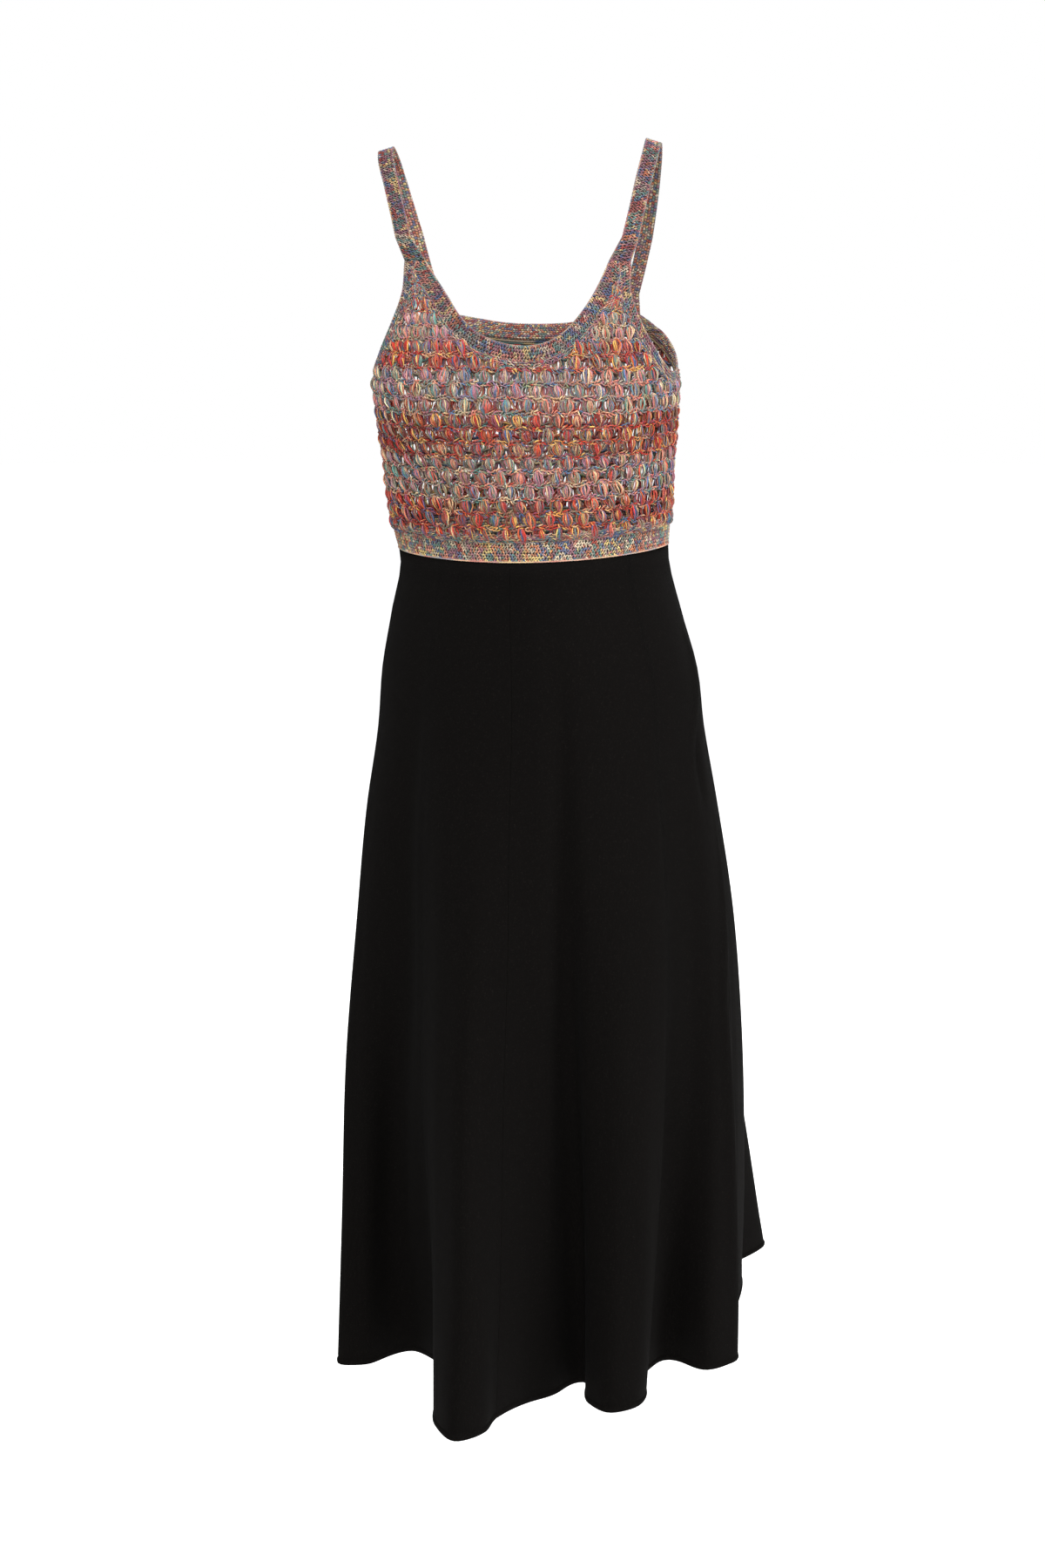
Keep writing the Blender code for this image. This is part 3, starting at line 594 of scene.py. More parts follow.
@dataclass
class YarnBatch:
    """Many short closed tubes of yarn, gathered into one mesh with a colour on every point."""

    points: list = field(default_factory=list)
    polygons: list = field(default_factory=list)
    main: list = field(default_factory=list)
    second: list = field(default_factory=list)
    ply: list = field(default_factory=list)
    count: int = 0

    def add(self, lines: Array, radius: Array | float, facing: Array, main: Array, second: Array) -> None:
        """Add one closed tube along each line: a ring of points round every station, and two end caps.

        A ring's point is the station plus radius times (cos t of the upward normal plus sin t of the
        sideways normal), t going once round.

        Args:
            lines: Centre lines, tubes by stations by three.
            radius: Radius at each station, or anything that broadcasts to tubes by stations.
            facing: The way that each tube's top faces, tubes by three.
            main: Linear colours, tubes by three or tubes by stations by three.
            second: The colour of the yarn's other ply, shaped like main.
        """
        tubes, stations = lines.shape[:2]
        tangent = unit(np.gradient(lines, axis=1))
        sideways = unit(np.cross(tangent, np.broadcast_to(facing[:, None], lines.shape)))
        upward = np.cross(sideways, tangent)
        turn = TURN * np.arange(YARN_SIDES) / YARN_SIDES
        cos, sin = np.cos(turn), np.sin(turn)
        ring = upward[:, :, None] * cos[:, None] + sideways[:, :, None] * sin[:, None]
        radius = np.broadcast_to(radius, (tubes, stations))
        self.points.append((lines[:, :, None] + ring * radius[..., None, None]).reshape(-1, 3))
        number = np.arange(tubes * stations * YARN_SIDES).reshape(tubes, stations, YARN_SIDES) + self.count
        beside = np.roll(number, -1, axis=2)
        quads = stacked(number[:, :-1], beside[:, :-1], beside[:, 1:], number[:, 1:])
        self.polygons.append(quads.reshape(-1, 4))
        self.polygons.append(np.concatenate([number[:, 0, ::-1], number[:, -1]]))
        self.count += number.size
        steps = np.linalg.norm(np.diff(lines, axis=1), axis=-1)
        run = np.concatenate([np.zeros((tubes, 1)), np.cumsum(steps, axis=1)], axis=1)
        self.ply.append(stacked(cos, sin, run[..., None]).reshape(-1, 3))
        for kept, colour in ((self.main, main), (self.second, second)):
            colour = colour if colour.ndim == 3 else colour[:, None]
            kept.append(np.broadcast_to(colour[:, :, None], number.shape + (3,)).reshape(-1, 3))

    def object(self, name: str, material: Material) -> Object:
        """The batch as one smooth object with the attributes that its yarn material reads."""
        mesh = polygon_mesh(name, np.concatenate(self.points), self.polygons)
        for title, kept in (("yarn_main", self.main), ("yarn_second", self.second)):
            colours = np.concatenate(kept)
            opaque = np.concatenate([colours, np.ones((len(colours), 1))], axis=1)
            stored(mesh.attributes.new(title, "FLOAT_COLOR", "POINT").data, "color", opaque)
        stored(mesh.attributes.new("yarn_ply", "FLOAT_VECTOR", "POINT").data, "vector", np.concatenate(self.ply))
        return linked_object(mesh, material)


def stored(data: bpy.types.bpy_prop_collection, key: str, values: Array) -> None:
    """Put an array of numbers into one property of a mesh's points, corners or attribute."""
    data.foreach_set(key, values.astype(np.float32).ravel())


def polygon_mesh(name: str, points: Array, polygons: list[Array]) -> Mesh:
    """A smooth mesh from points and groups of polygons, each group with its own number of corners.

    Args:
        name: The mesh's name.
        points: Points by three.
        polygons: Arrays of polygons by corners.

    Returns:
        The mesh, with its edges worked out.
    """
    mesh = bpy.data.meshes.new(name)
    corners = np.concatenate([group.ravel() for group in polygons]).astype(np.int32)
    sizes = np.concatenate([np.full(len(group), group.shape[1]) for group in polygons])
    mesh.vertices.add(len(points))
    stored(mesh.vertices, "co", points)
    mesh.loops.add(len(corners))
    mesh.loops.foreach_set("vertex_index", corners)
    mesh.polygons.add(len(sizes))
    mesh.polygons.foreach_set("loop_start", np.concatenate([[0], np.cumsum(sizes)[:-1]]).astype(np.int32))
    mesh.update(calc_edges=True)
    mesh.shade_smooth()
    return mesh


def linked_object(mesh: Mesh, material: Material) -> Object:
    """An object for a mesh, at the origin, with its material, linked to the scene."""
    mesh.materials.append(material)
    thing = bpy.data.objects.new(mesh.name, mesh)
    bpy.context.scene.collection.objects.link(thing)
    return thing


def cloth_wall(name: str, outer: Array, inner: Array, material: Material, flat: Array) -> Object:
    """A closed cloth wall between two grids of points, with a UV map in metres of cloth.

    Args:
        name: The object's name.
        outer: Rows by columns by three.
        inner: The same rows and columns on the inside.
        material: The cloth's finish.
        flat: Rows by columns by two, each point's place on the flat cloth, in metres.

    Returns:
        The object; its faces point outwards when across a row times down a column does.
    """
    rows, columns = outer.shape[:2]
    total = rows * columns
    number = np.arange(total).reshape(rows, columns)
    face = stacked(number[:-1, :-1], number[:-1, 1:], number[1:, 1:], number[1:, :-1]).reshape(-1, 4)
    rim = np.concatenate([number[0, :-1], number[:-1, -1], number[-1, :0:-1], number[:0:-1, 0]])
    ahead = np.roll(rim, -1)
    sides = stacked(ahead, rim, total + rim, total + ahead)
    every = np.concatenate([face, total + face[:, ::-1], sides])
    mesh = polygon_mesh(name, np.concatenate([outer.reshape(-1, 3), inner.reshape(-1, 3)]), [every])
    stored(mesh.uv_layers.new(name="cloth").uv, "vector", np.tile(flat.reshape(-1, 2), (2, 1))[every.ravel()])
    inside = mesh.attributes.new("cloth_inside", "FLOAT", "POINT")
    stored(inside.data, "value", np.repeat([0.0, 1.0], total))
    return linked_object(mesh, material)


@dataclass
class Ribbon:
    """A ruled strip of cloth: its inner surface and outward normals on stations along and columns across."""

    inner: Array
    normals: Array

    @property
    def run(self) -> Array:
        """Distance along the strip's middle to each station."""
        return run_along(self.inner.mean(axis=1))

    @property
    def length(self) -> float:
        """Length of the strip along its middle, in metres."""
        return float(self.run[-1])

    @property
    def width(self) -> float:
        """Mean width of the strip, in metres."""
        return float(np.linalg.norm(np.diff(self.inner, axis=1), axis=-1).sum(axis=1).mean())

    def at(self, along: Array | float, across: Array | float, lift: Array | float) -> Array:
        """Points over the strip, by straight mixing between its four nearest stations.

        Args:
            along: Share of the strip's length, 0 to 1.
            across: Share of its width, 0 to 1.
            lift: Height over the inner surface, in metres.

        Returns:
            Points with a last axis of three.
        """
        along, across, lift = np.broadcast_arrays(along, across, lift)
        run = self.run
        station = np.interp(clamped(along) * run[-1], run, np.arange(len(run)))
        column = clamped(across) * (self.inner.shape[1] - 1)
        low_s = np.minimum(station.astype(int), len(run) - 2)
        low_c = np.minimum(column.astype(int), self.inner.shape[1] - 2)
        s, c = (station - low_s)[..., None], (column - low_c)[..., None]

        def mixed(grid: Array) -> Array:
            """A grid's value between its four nearest points."""
            near = grid[low_s, low_c] * (1 - c) + grid[low_s, low_c + 1] * c
            far = grid[low_s + 1, low_c] * (1 - c) + grid[low_s + 1, low_c + 1] * c
            return near * (1 - s) + far * s

        return mixed(self.inner) + unit(mixed(self.normals)) * lift[..., None]

    def facing(self, along: Array | float, across: Array | float) -> Array:
        """Outward directions: from the inner surface towards the point a millimetre over it."""
        return unit(self.at(along, across, 0.001) - self.at(along, across, 0.0))


@dataclass(frozen=True)
class Cord:
    """A twisted chain along a strip's edge: how it is wound and how long each of its colours lasts."""

    wound: float = 0.00045
    raised: float = 0.0
    mean_run: float = 6.0
    dye: Dye = Dye.BAND


@dataclass
class CrochetStrip:
    """A narrow strip of close crochet: a thin ground with rows of small V-shaped stitches over it.

    Half of the stitches take the colour of the one in the row before, so that colours gather in patches.
    """

    name: str
    ribbon: Ribbon
    rows: int
    dye: Dye
    seed: int
    cords: tuple[Cord, Cord]
    stitch: float = 0.0029
    slant: float = 0.33
    slant_share: float = 0.90
    yarn: float = 0.00057
    ground: tuple[float, float] = (0.0002, 0.0013)
    ground_step: float = 0.004
    ground_columns: int = 7
    top: float = 0.0024
    lean: float = 0.30
    uneven: float = 0.08
    shade: float = 0.20
    mean_run: float = 1.8
    repeated: float = 0.5
    odd: float = 0.12
    second_ply: float = 0.4
    cord_edges: tuple[float, float] = (0.015, 0.985)
    cord_step: float = 0.0010
    cord_pitch: float = 0.95
    cord_lift: float = 0.0013
    cord_yarn: float = 0.00062

    def ground_object(self, material: Material) -> Object:
        """The strip's thin ground: a closed wall between two heights over the ribbon."""
        length, width = self.ribbon.length, self.ribbon.width
        along = even(max(8, round(length / self.ground_step)))[:, None]
        across = even(self.ground_columns)[None, :]
        flat = stacked(along * length, across * width)
        inner, outer = (self.ribbon.at(along, across, height) for height in self.ground)
        return cloth_wall(f"{self.name}_ground", outer, inner, material, flat)

    def colours(self, count: int) -> Array:
        """A colour for each stitch, row by row: runs of one colour, half of them as in the row before."""
        colours = np.stack([self.dye.value.runs(self.rng, count, self.mean_run) for _ in range(self.rows)])
        for number in range(1, self.rows):
            same = self.rng.random(count) < self.repeated
            colours[number, same] = colours[number - 1, same]
        return colours

    def stitches(self) -> YarnBatch:
        """Two slanting legs for each stitch, meeting in a V, in rows that step along by a third.

        With t from 0 at a leg's head to 1 at its foot, the leg lies (0.52 - 0.47 t) of a stitch to its
        side and (0.50 - 1.02 t) of a row across, and is lifted and thickened by an arch that is
        sin(pi (0.12 + 0.76 t)).
        """
        self.rng = rng = np.random.default_rng(self.seed)
        batch = YarnBatch()
        count = round(self.ribbon.length / self.stitch)
        row = np.arange(self.rows)[:, None]
        place = (np.arange(count)[None] + 0.5 + ((row * self.slant) % 1.0 - 0.5) * self.slant_share) / count
        centre = np.broadcast_to((row + 0.5) / self.rows, place.shape)
        step, height = 1.0 / count, 1.0 / self.rows
        t = even(3)
        arch = arched(0.12 + 0.76 * t)
        lean = np.where(row % 2 == 0, self.lean, -self.lean)[..., None]
        lift = self.top - self.yarn + (arch - 1.0) * self.yarn * 1.1
        facing = self.ribbon.facing(place, centre).reshape(-1, 3)
        colours = self.colours(count)
        for side in SIDES:
            jitter = rng.normal(0.0, self.uneven, place.shape + (2,))
            along = place[..., None] + step * (side * (0.52 - 0.47 * t) + lean * (0.5 - t) + jitter[..., :1])
            across = centre[..., None] + height * (0.50 - 1.02 * t) + jitter[..., 1:] * height
            lines = self.ribbon.at(along, across, lift).reshape(-1, 3, 3)
            main = colours * np.exp(rng.normal(0.0, self.shade, place.shape))[..., None]
            second = self.dye.value.pick(rng, place.shape)
            main = np.where((rng.random(place.shape) < self.odd)[..., None], second, main)
            other = (1.0 - self.second_ply) * main + self.second_ply * second
            radius = self.yarn * (0.72 + 0.28 * arch)
            batch.add(lines, radius, facing, clamped(main).reshape(-1, 3), other.reshape(-1, 3))
        for across, cord in zip(self.cord_edges, self.cords):
            self.add_cord(batch, across, cord)
        return batch

    def add_cord(self, batch: YarnBatch, across: float, cord: Cord) -> None:
        """A twisted chain along one edge: two strands that wind round its line.

        Each strand swings across by the cosine, and up by the sine, of the way along over its pitch.

        Args:
            batch: The stitches that the chain joins.
            across: Where the edge is, as a share of the strip's width.
            cord: How the chain is wound and dyed.
        """
        length = self.ribbon.length
        count = round(length / self.cord_step)
        share = even(count)
        phase = TURN * share * length / (self.stitch * self.cord_pitch)
        facing = self.ribbon.facing(0.5, across)[None]
        for turn, raised in ((0.0, 0.0), (math.pi, cord.raised)):
            swing = across + cord.wound / self.ribbon.width * np.cos(phase + turn)
            line = self.ribbon.at(share, swing, self.cord_lift + raised + cord.wound * np.sin(phase + turn))
            main, second = (cord.dye.value.runs(self.rng, count, cord.mean_run)[None] for _ in range(2))
            batch.add(line[None], self.cord_yarn, facing, main, second)


@dataclass(frozen=True)
class Uneven:
    """How uneven the hand's work is: spreads of the random differences, in metres, radians or shares."""

    place: float = 0.0006
    row: float = 0.0003
    size: float = 0.06
    lean: float = 0.09
    part: float = 0.11
    height: float = 0.05
    wander: float = 0.00045
    bulge: float = 0.16
    thickness: float = 0.13
    shade: float = 0.26
    post: float = 0.0004
    post_lift: float = 0.00025
    post_curl: float = 0.0005
    knot: float = 0.0007
    stitch_turn: float = 0.42
    stitch_along: float = 0.0004
    stitch_out: float = 0.00025
    stitch_lift: float = 0.0005


@dataclass
class PuffPlaces:
    """The puffs of a panel: the angle, level, row number, size, lean and outward direction of each."""

    angle: Array
    level: Array
    row: Array
    size: Array
    lean: Array
    facing: Array


@dataclass
class PuffPanel:
    """A panel of puff stitch: rows of plump puffs, each a bundle of yarn strands, on a net of chains."""

    name: str
    form: BodyForm
    outline: Array
    start: float
    end: float
    seed: int
    uneven: Uneven = Uneven()
    chains: YarnBatch = field(default_factory=YarnBatch)
    posts: YarnBatch = field(default_factory=YarnBatch)
    columns: int = 22
    row_pitch: float = 0.01285
    flat_radius: float = 0.140
    side_margin: float = 0.0010
    crowded_room: float = -0.0010
    full_room: float = 0.0052
    least_size: float = 0.5
    least_span: float = 0.0035
    span_points: int = 600
    edge_room: float = 0.0042
    edge_reach: float = 0.35
    least_pitch: float = 0.6
    short_row: float = 0.095
    short_pitch: float = 0.0115
    lean: float = -0.10
    waist_lean: float = -0.34
    waist_lean_turn: tuple[float, float] = (0.3, 0.7)
    waist_lean_level: tuple[float, float] = (-0.225, 0.05)
    puff_width: float = 0.0040
    puff_height: float = 0.0156
    puff_base: float = 0.0010
    puff_raised: float = 0.0036
    least_lift: float = 0.0006
    strand: float = 0.00078
    strands: int = 7
    fillers: int = 2
    filler_reach: float = 0.75
    # The fillers' colour factor is painted shade: it darkens the strands that lie under the others.
    filler_painted_shade: float = 0.45
    filler_plump: float = 0.30
    filler_base: float = 0.8
    shared_dyes: tuple[float, float] = (0.20, 0.36)
    dye_turn: float = 0.3
    stations: int = 7
    legs: tuple[float, ...] = (-0.0080, -0.0071, -0.0062)
    leg: float = 0.00062
    # The posts' colour factor is painted shade: it darkens every post.
    post_painted_shade: float = 0.62
    leg_overlap: float = 1.04
    leg_bow: float = 0.34
    leg_lift: tuple[float, float] = (0.0012, 0.0011)
    knot_reach: float = 0.0021
    knot_height: float = 0.40
    knot_yarn: float = 0.00068
    knot_lift: tuple[float, float] = (0.0023, 0.0009)
    chain_stitch: float = 0.0031
    chain_yarn: float = 0.00062
    chain_spread: float = 0.00160
    chain_light: float = 1.15
    chain_lift: tuple[float, float] = (0.0024, 0.0010)
    chain_run: float = 2.5
    chain_odd: float = 0.3
    chain_wave: float = 0.0011
    chain_margin: float = 0.0009
    core: float = 0.00105
    core_lift: float = 0.0009
    # The cord's colour factor is painted shade: it darkens the cord in the depth of each chain.
    core_painted_shade: float = 0.42
    rim_insets: tuple[float, float] = (0.0012, 0.0034)
    apex_insets: tuple[float, float] = (0.0054, 0.0076)
    apex_level: float = -0.1580
    rim_spread: float = 0.0012
    rim_margin: float = 0.0004
    rim_foot: float = 0.006
    seam_room: float = 0.004
    moods: tuple[Dye, ...] = (((Dye.FIRE,) * 3 + (Dye.DUSK,) * 3) * 2
                              + (Dye.FIRE,) * 2 + (Dye.DUSK,) * 2 + (Dye.FIRE,) * 3)

    @property
    def flat(self) -> Array:
        """What turns an angle and a level into metres on the flat panel."""
        return np.array([self.flat_radius, 1.0])

    def depth(self, angle: Array, level: Array) -> Array:
        """How deep places lie inside the panel's outline, in metres, negative outside."""
        places = stacked(angle.ravel(), level.ravel()) * self.flat
        return inside_depth(places, self.outline * self.flat).reshape(angle.shape)

    def row_run(self, level: float) -> tuple[Array, Array]:
        """Fine angles round a row from side seam to side seam, and the distance to each."""
        fine = np.linspace(self.start, self.end, ROUND_POINTS)
        return fine, run_along(self.form.points(fine, level))

    def row_length(self, level: float) -> float:
        """Length of a row from side seam to side seam, in metres."""
        return float(self.row_run(level)[1][-1])

    def round_row(self, level: float, at: Array) -> Array:
        """Angles at shares of the way round a row, evenly spaced along the body."""
        fine, run = self.row_run(level)
        return np.interp(at * run[-1], run, fine)

    def spans(self, level: float) -> list[tuple[float, float]]:
        """The stretches of a row that lie inside the outline, in metres from the panel's start."""
        length = self.row_length(level)
        run = np.linspace(0.0, length, self.span_points)
        inside = self.depth(self.round_row(level, run / length), np.full(run.shape, level)) > self.side_margin
        edges = np.flatnonzero(np.diff(np.concatenate([[0], inside.astype(int), [0]])))
        found = zip(run[edges[::2]], run[edges[1::2] - 1])
        return [(low, high) for low, high in found if high - low > self.least_span]

    def places(self) -> PuffPlaces:
        """Where the puffs sit: every other row steps along by half a puff, like bricks.

        A row that the outline cuts short moves its outermost puffs in, so that none is cut, and a very
        short one spaces its few puffs evenly. The puffs lean a little to the -X side, and more towards
        the waist on that side. Each call starts the panel's chance anew from its seed.

        Returns:
            The puffs' places, sizes and leans.
        """
        self.rng = rng = np.random.default_rng(self.seed)
        found, off = [], self.uneven
        for row in range(len(self.moods)):
            level = self.form.waist_top + (row + 0.5) * self.row_pitch
            length = self.row_length(level)
            pitch = length / self.columns
            middles = (np.arange(self.columns) + 0.25 + 0.5 * (row % 2)) * pitch
            for low, high in self.spans(level):
                if high - low < self.short_row:
                    count = max(1, round((high - low) / self.short_pitch))
                    near = low + (np.arange(count) + 0.5) * (high - low) / count
                else:
                    reach = self.edge_reach * pitch
                    near = middles[(middles > low - reach) & (middles < high + reach)]
                    near = np.clip(near, low + self.edge_room, high - self.edge_room)
                    near = near[np.concatenate([[True], np.diff(near) > self.least_pitch * pitch])]
                near = near + rng.normal(0.0, off.place, near.shape)
                angle = self.round_row(level, near / length)
                levels = level + rng.normal(0.0, off.row, angle.shape)
                found.append(stacked(angle, levels, float(row)))
        angle, level, row = np.concatenate(found).T
        room = self.depth(angle, level)
        size = np.clip((room - self.crowded_room) / self.full_room, self.least_size, 1.0)
        size = size * np.exp(rng.normal(0.0, off.size, room.shape))
        (turn, turn_run), (high, fall) = self.waist_lean_turn, self.waist_lean_level
        beside = smooth_step((-angle - turn) / turn_run) * smooth_step((high - level) / fall)
        lean = self.lean + self.waist_lean * beside + rng.normal(0.0, off.lean, room.shape)
        return PuffPlaces(angle, level, row.astype(int), size, lean, self.form.normals(angle, level))

    def laid(self, angle: Array, level: Array, across: Array, up: Array, lift: Array) -> Array:
        """Points beside given places of the body: so far across, up and out, in metres."""
        scale = self.form.scale(angle, level)
        shape = angle.shape + (1,) * (across.ndim - angle.ndim)
        turned = angle.reshape(shape) + across / scale[..., 0].reshape(shape)
        raised = level.reshape(shape) + up / scale[..., 1].reshape(shape)
        return self.form.raised(turned, raised, lift)

    def puffs(self) -> YarnBatch:
        """Strands that part from the foot of a puff, bulge sideways and outwards, and close at its head.

        With t from 0 to 1 up a strand, its arch is sin(pi t^1.08). Across is the strand's share times
        half the width times the arch^0.95, up runs evenly from foot to head, the lift is the arch^0.8
        over a base, less at the sides, and the thickness swells from 0.55 to 1 with the arch^0.6. Two
        flat filler strands lie under the others, their colours darkened as painted shade.
        """
        puffs, rng, off = self.places(), self.rng, self.uneven
        size = puffs.size[:, None, None]
        t = even(self.stations)
        arch = arched(np.clip(t**1.08, 0.02, 0.98))
        batch = YarnBatch()
        outer = np.linspace(-1.0, 1.0, self.strands)
        inner = np.linspace(-self.filler_reach, self.filler_reach, self.fillers)
        layers = ((outer, 1.0, 1.0, 1.0), (inner, self.filler_plump, self.filler_base, self.filler_painted_shade))
        for shares, plump, base, shade in layers:
            count = (len(size), len(shares), 1)
            spread = shares[None, :, None] + rng.normal(0.0, off.part, count)
            up = (t - 0.5) * self.puff_height * size * rng.normal(1.0, off.height, count)
            sway, aside = rng.normal(0.0, off.wander, count), rng.normal(0.0, off.wander, count)
            across = (
                spread * self.puff_width * size * arch**0.95 + puffs.lean[:, None, None] * up
                + (sway * np.sin(TURN * t) + aside)
            )
            bulge = rng.normal(1.0, off.bulge, count) * (1.0 - 0.5 * spread**2)
            lift = self.puff_base * base + self.puff_raised * plump * bulge * size * arch**0.8
            lines = self.laid(puffs.angle, puffs.level, across, up, np.maximum(lift, self.least_lift))
            thick = self.strand * rng.normal(1.0, off.thickness, count) * size**0.5
            radius = (thick * (0.55 + 0.45 * arch**0.6)).reshape(-1, self.stations)
            main, second = self.strand_colours(puffs.row, len(shares), t)
            facing = np.repeat(puffs.facing, len(shares), axis=0)
            # The shade factor darkens the filler strands' colours as painted shade; the outer strands keep theirs.
            batch.add(lines.reshape(-1, self.stations, 3), radius, facing, main * shade, second * shade)
        return batch

    def strand_colours(self, row: Array, strands: int, t: Array) -> tuple[Array, Array]:
        """Colours along each strand, mostly one of two that its puff shares; it may turn on its way up.

        Args:
            row: Row number of each puff.
            strands: Strands in a puff.
            t: Stations along a strand, 0 to 1.

        Returns:
            The main and the second ply's colours, strands by stations by three and strands by three.
        """
        rng, shape = self.rng, (len(row), strands)
        bottom, top, second = (np.zeros(shape + (3,)) for _ in range(3))
        for number, mood in enumerate(self.moods):
            here = row == number
            wanted = (int(here.sum()), strands)
            shared = mood.value.pick(rng, (wanted[0], 2))
            for colours in (bottom, top, second):
                chance = rng.random(wanted)[..., None]
                own = mood.value.pick(rng, wanted, self.uneven.shade)
                first, either = (chance < limit for limit in self.shared_dyes)
                colours[here] = np.where(first, shared[:, :1], np.where(either, shared[:, 1:], own))
        turn_at = rng.uniform(-0.6, 1.6, shape)[..., None]
        mix = smooth_step((t - turn_at) / self.dye_turn + 0.5)[..., None]
        main = bottom[:, :, None] * (1.0 - mix) + top[:, :, None] * mix
        return main.reshape(-1, len(t), 3), second.reshape(-1, 3)

    def net(self) -> tuple[YarnBatch, YarnBatch]:
        """The net between the puffs.

        Returns:
            Its chains, knots and rim, and then the posts beside the puffs.
        """
        puffs = self.places()
        self.add_posts(puffs)
        self.add_knots(puffs)
        for number in range(1, len(self.moods) + 1):
            self.add_chain_row(number)
        self.add_rim()
        return self.chains, self.posts

    def add_posts(self, puffs: PuffPlaces) -> None:
        """Posts beside a puff, from the chain below to the chain above: each bows out by sin(pi t), its colours
        darkened as painted shade.
        """
        t = even(6)
        arch, rng, off = arched(t), self.rng, self.uneven
        base, rise = self.leg_lift
        for leg in self.legs:
            bow = (leg + rng.normal(0.0, off.post, puffs.size.shape) * math.copysign(1.0, leg)) * puffs.size
            up = np.broadcast_to((t - 0.5) * self.row_pitch * self.leg_overlap, (len(bow), len(t)))
            curl = rng.normal(0.0, off.post_curl, bow.shape)[:, None] * np.sin(TURN * t)
            across = bow[:, None] * (1.0 - self.leg_bow + self.leg_bow * arch) + puffs.lean[:, None] * up + curl
            lift = base + rise * arch + rng.normal(0.0, off.post_lift, bow.shape)[:, None]
            lines = self.laid(puffs.angle, puffs.level, across, up, lift)
            main, second = self.strand_colours(puffs.row, 1, t)
            # Painted shade: the posts' colours are scaled down.
            self.posts.add(lines, self.leg, puffs.facing, main * self.post_painted_shade, second * self.post_painted_shade)

    def add_knots(self, puffs: PuffPlaces) -> None:
        """The stitch that closes each puff: a short bar across its head, highest and thickest in the middle."""
        t = np.linspace(-1.0, 1.0, 4)
        size, (base, rise) = puffs.size[:, None], self.knot_lift
        reach = self.knot_reach * size
        up = self.knot_height * self.puff_height * size + self.rng.normal(0.0, self.uneven.knot, reach.shape) * t
        lift = np.broadcast_to(base + rise * (1.0 - t**2), up.shape)
        lines = self.laid(puffs.angle, puffs.level, reach * t + puffs.lean[:, None] * up, up, lift)
        main, second = self.strand_colours(puffs.row, 1, (t + 1.0) / 2.0)
        self.chains.add(lines, self.knot_yarn * (1.0 - 0.4 * t**2), puffs.facing, main, second)

    def add_stitches(self, curve: Array, dye: YarnDye, spread: float) -> None:
        """Chain stitches along a line of places: each two short legs that part from one point in a V.

        With t from 0 to 1 along a leg, it runs 1.45 (t - 0.45) of a stitch forward, parts to its side by
        0.12 + sin(0.62 pi t) of the spread, and rises by sin(pi t).

        Args:
            curve: Angle and level of each stitch, in order along the line.
            dye: The yarn's colours.
            spread: How far the legs part to each side, in metres.
        """
        rng, off, count = self.rng, self.uneven, len(curve)
        along, _ = self.form.heading(curve)
        turned = np.arctan2(along[:, 1], along[:, 0]) + rng.normal(0.0, off.stitch_turn, count)
        cos, sin = np.cos(turned)[:, None], np.sin(turned)[:, None]
        t = even(3)
        arch = arched(t)
        colours = dye.runs(rng, count, self.chain_run)
        facing = self.form.normals(*curve.T)
        base, rise = self.chain_lift
        for side in SIDES:
            forward = 1.45 * self.chain_stitch * (t - 0.45) + rng.normal(0.0, off.stitch_along, (count, 1))
            out = side * spread * (0.12 + np.sin(0.62 * math.pi * t)) + rng.normal(0.0, off.stitch_out, (count, 1))
            lift = base + rise * arch + rng.normal(0.0, off.stitch_lift, (count, 1))
            lines = self.laid(*curve.T, forward * cos - out * sin, forward * sin + out * cos, lift)
            second = dye.pick(rng, (count,))
            odd = rng.random(count) < self.chain_odd
            main = self.chain_light * np.where(odd[:, None], second, colours)
            self.chains.add(lines, self.chain_yarn * (0.8 + 0.2 * arch), facing, main, second)

    def add_core(self, curve: Array, dye: YarnDye) -> None:
        """The yarn in the depth of a chain: one thick cord along a line of places, its colours darkened as painted
        shade.
        """
        line = self.form.raised(*curve.T, np.full(len(curve), self.core_lift))[None]
        colours = self.core_painted_shade * dye.runs(self.rng, len(curve), self.chain_run)[None]
        facing = self.form.normals(*curve.T).mean(axis=0)[None]
        self.chains.add(line, self.core, unit(facing), colours, colours)

    def add_chains(self, curve: Array, kept: Array, dye: YarnDye, spread: float) -> None:
        """Chain stitches with their core along each unbroken run of a line's kept places.

        Args:
            curve: Angle and level of each place along the line.
            kept: Which of the places to keep.
            dye: The yarn's colours.
            spread: How far the stitches' legs part to each side, in metres.
        """
        breaks = np.flatnonzero(np.diff(np.flatnonzero(kept)) > 1) + 1
        for part in np.split(np.flatnonzero(kept), breaks):
            if len(part) > 1:
                self.add_stitches(curve[part], dye, spread)
                self.add_core(curve[part], dye)

    def add_chain_row(self, number: int) -> None:
        """Chain stitches along the line between two rows, over their core.

        The line stands high over the puffs below it and low between them, as a cosine of the way round.

        Args:
            number: How many rows of puffs lie below the line.
        """
        level = self.form.waist_top + number * self.row_pitch
        length = self.row_length(level)
        run = np.arange(self.chain_stitch / 2, length, self.chain_stitch)
        angle = self.round_row(level, run / length)
        wave = TURN * (run / length * self.columns - 0.25 - 0.5 * ((number - 1) % 2))
        heights = level + self.chain_wave * np.cos(wave) + self.rng.normal(0.0, self.uneven.row, run.shape)
        kept = self.depth(angle, heights) > self.chain_margin
        mood = self.moods[min(number, len(self.moods) - 1)].value
        self.add_chains(stacked(angle, heights), kept, mood, self.chain_spread)

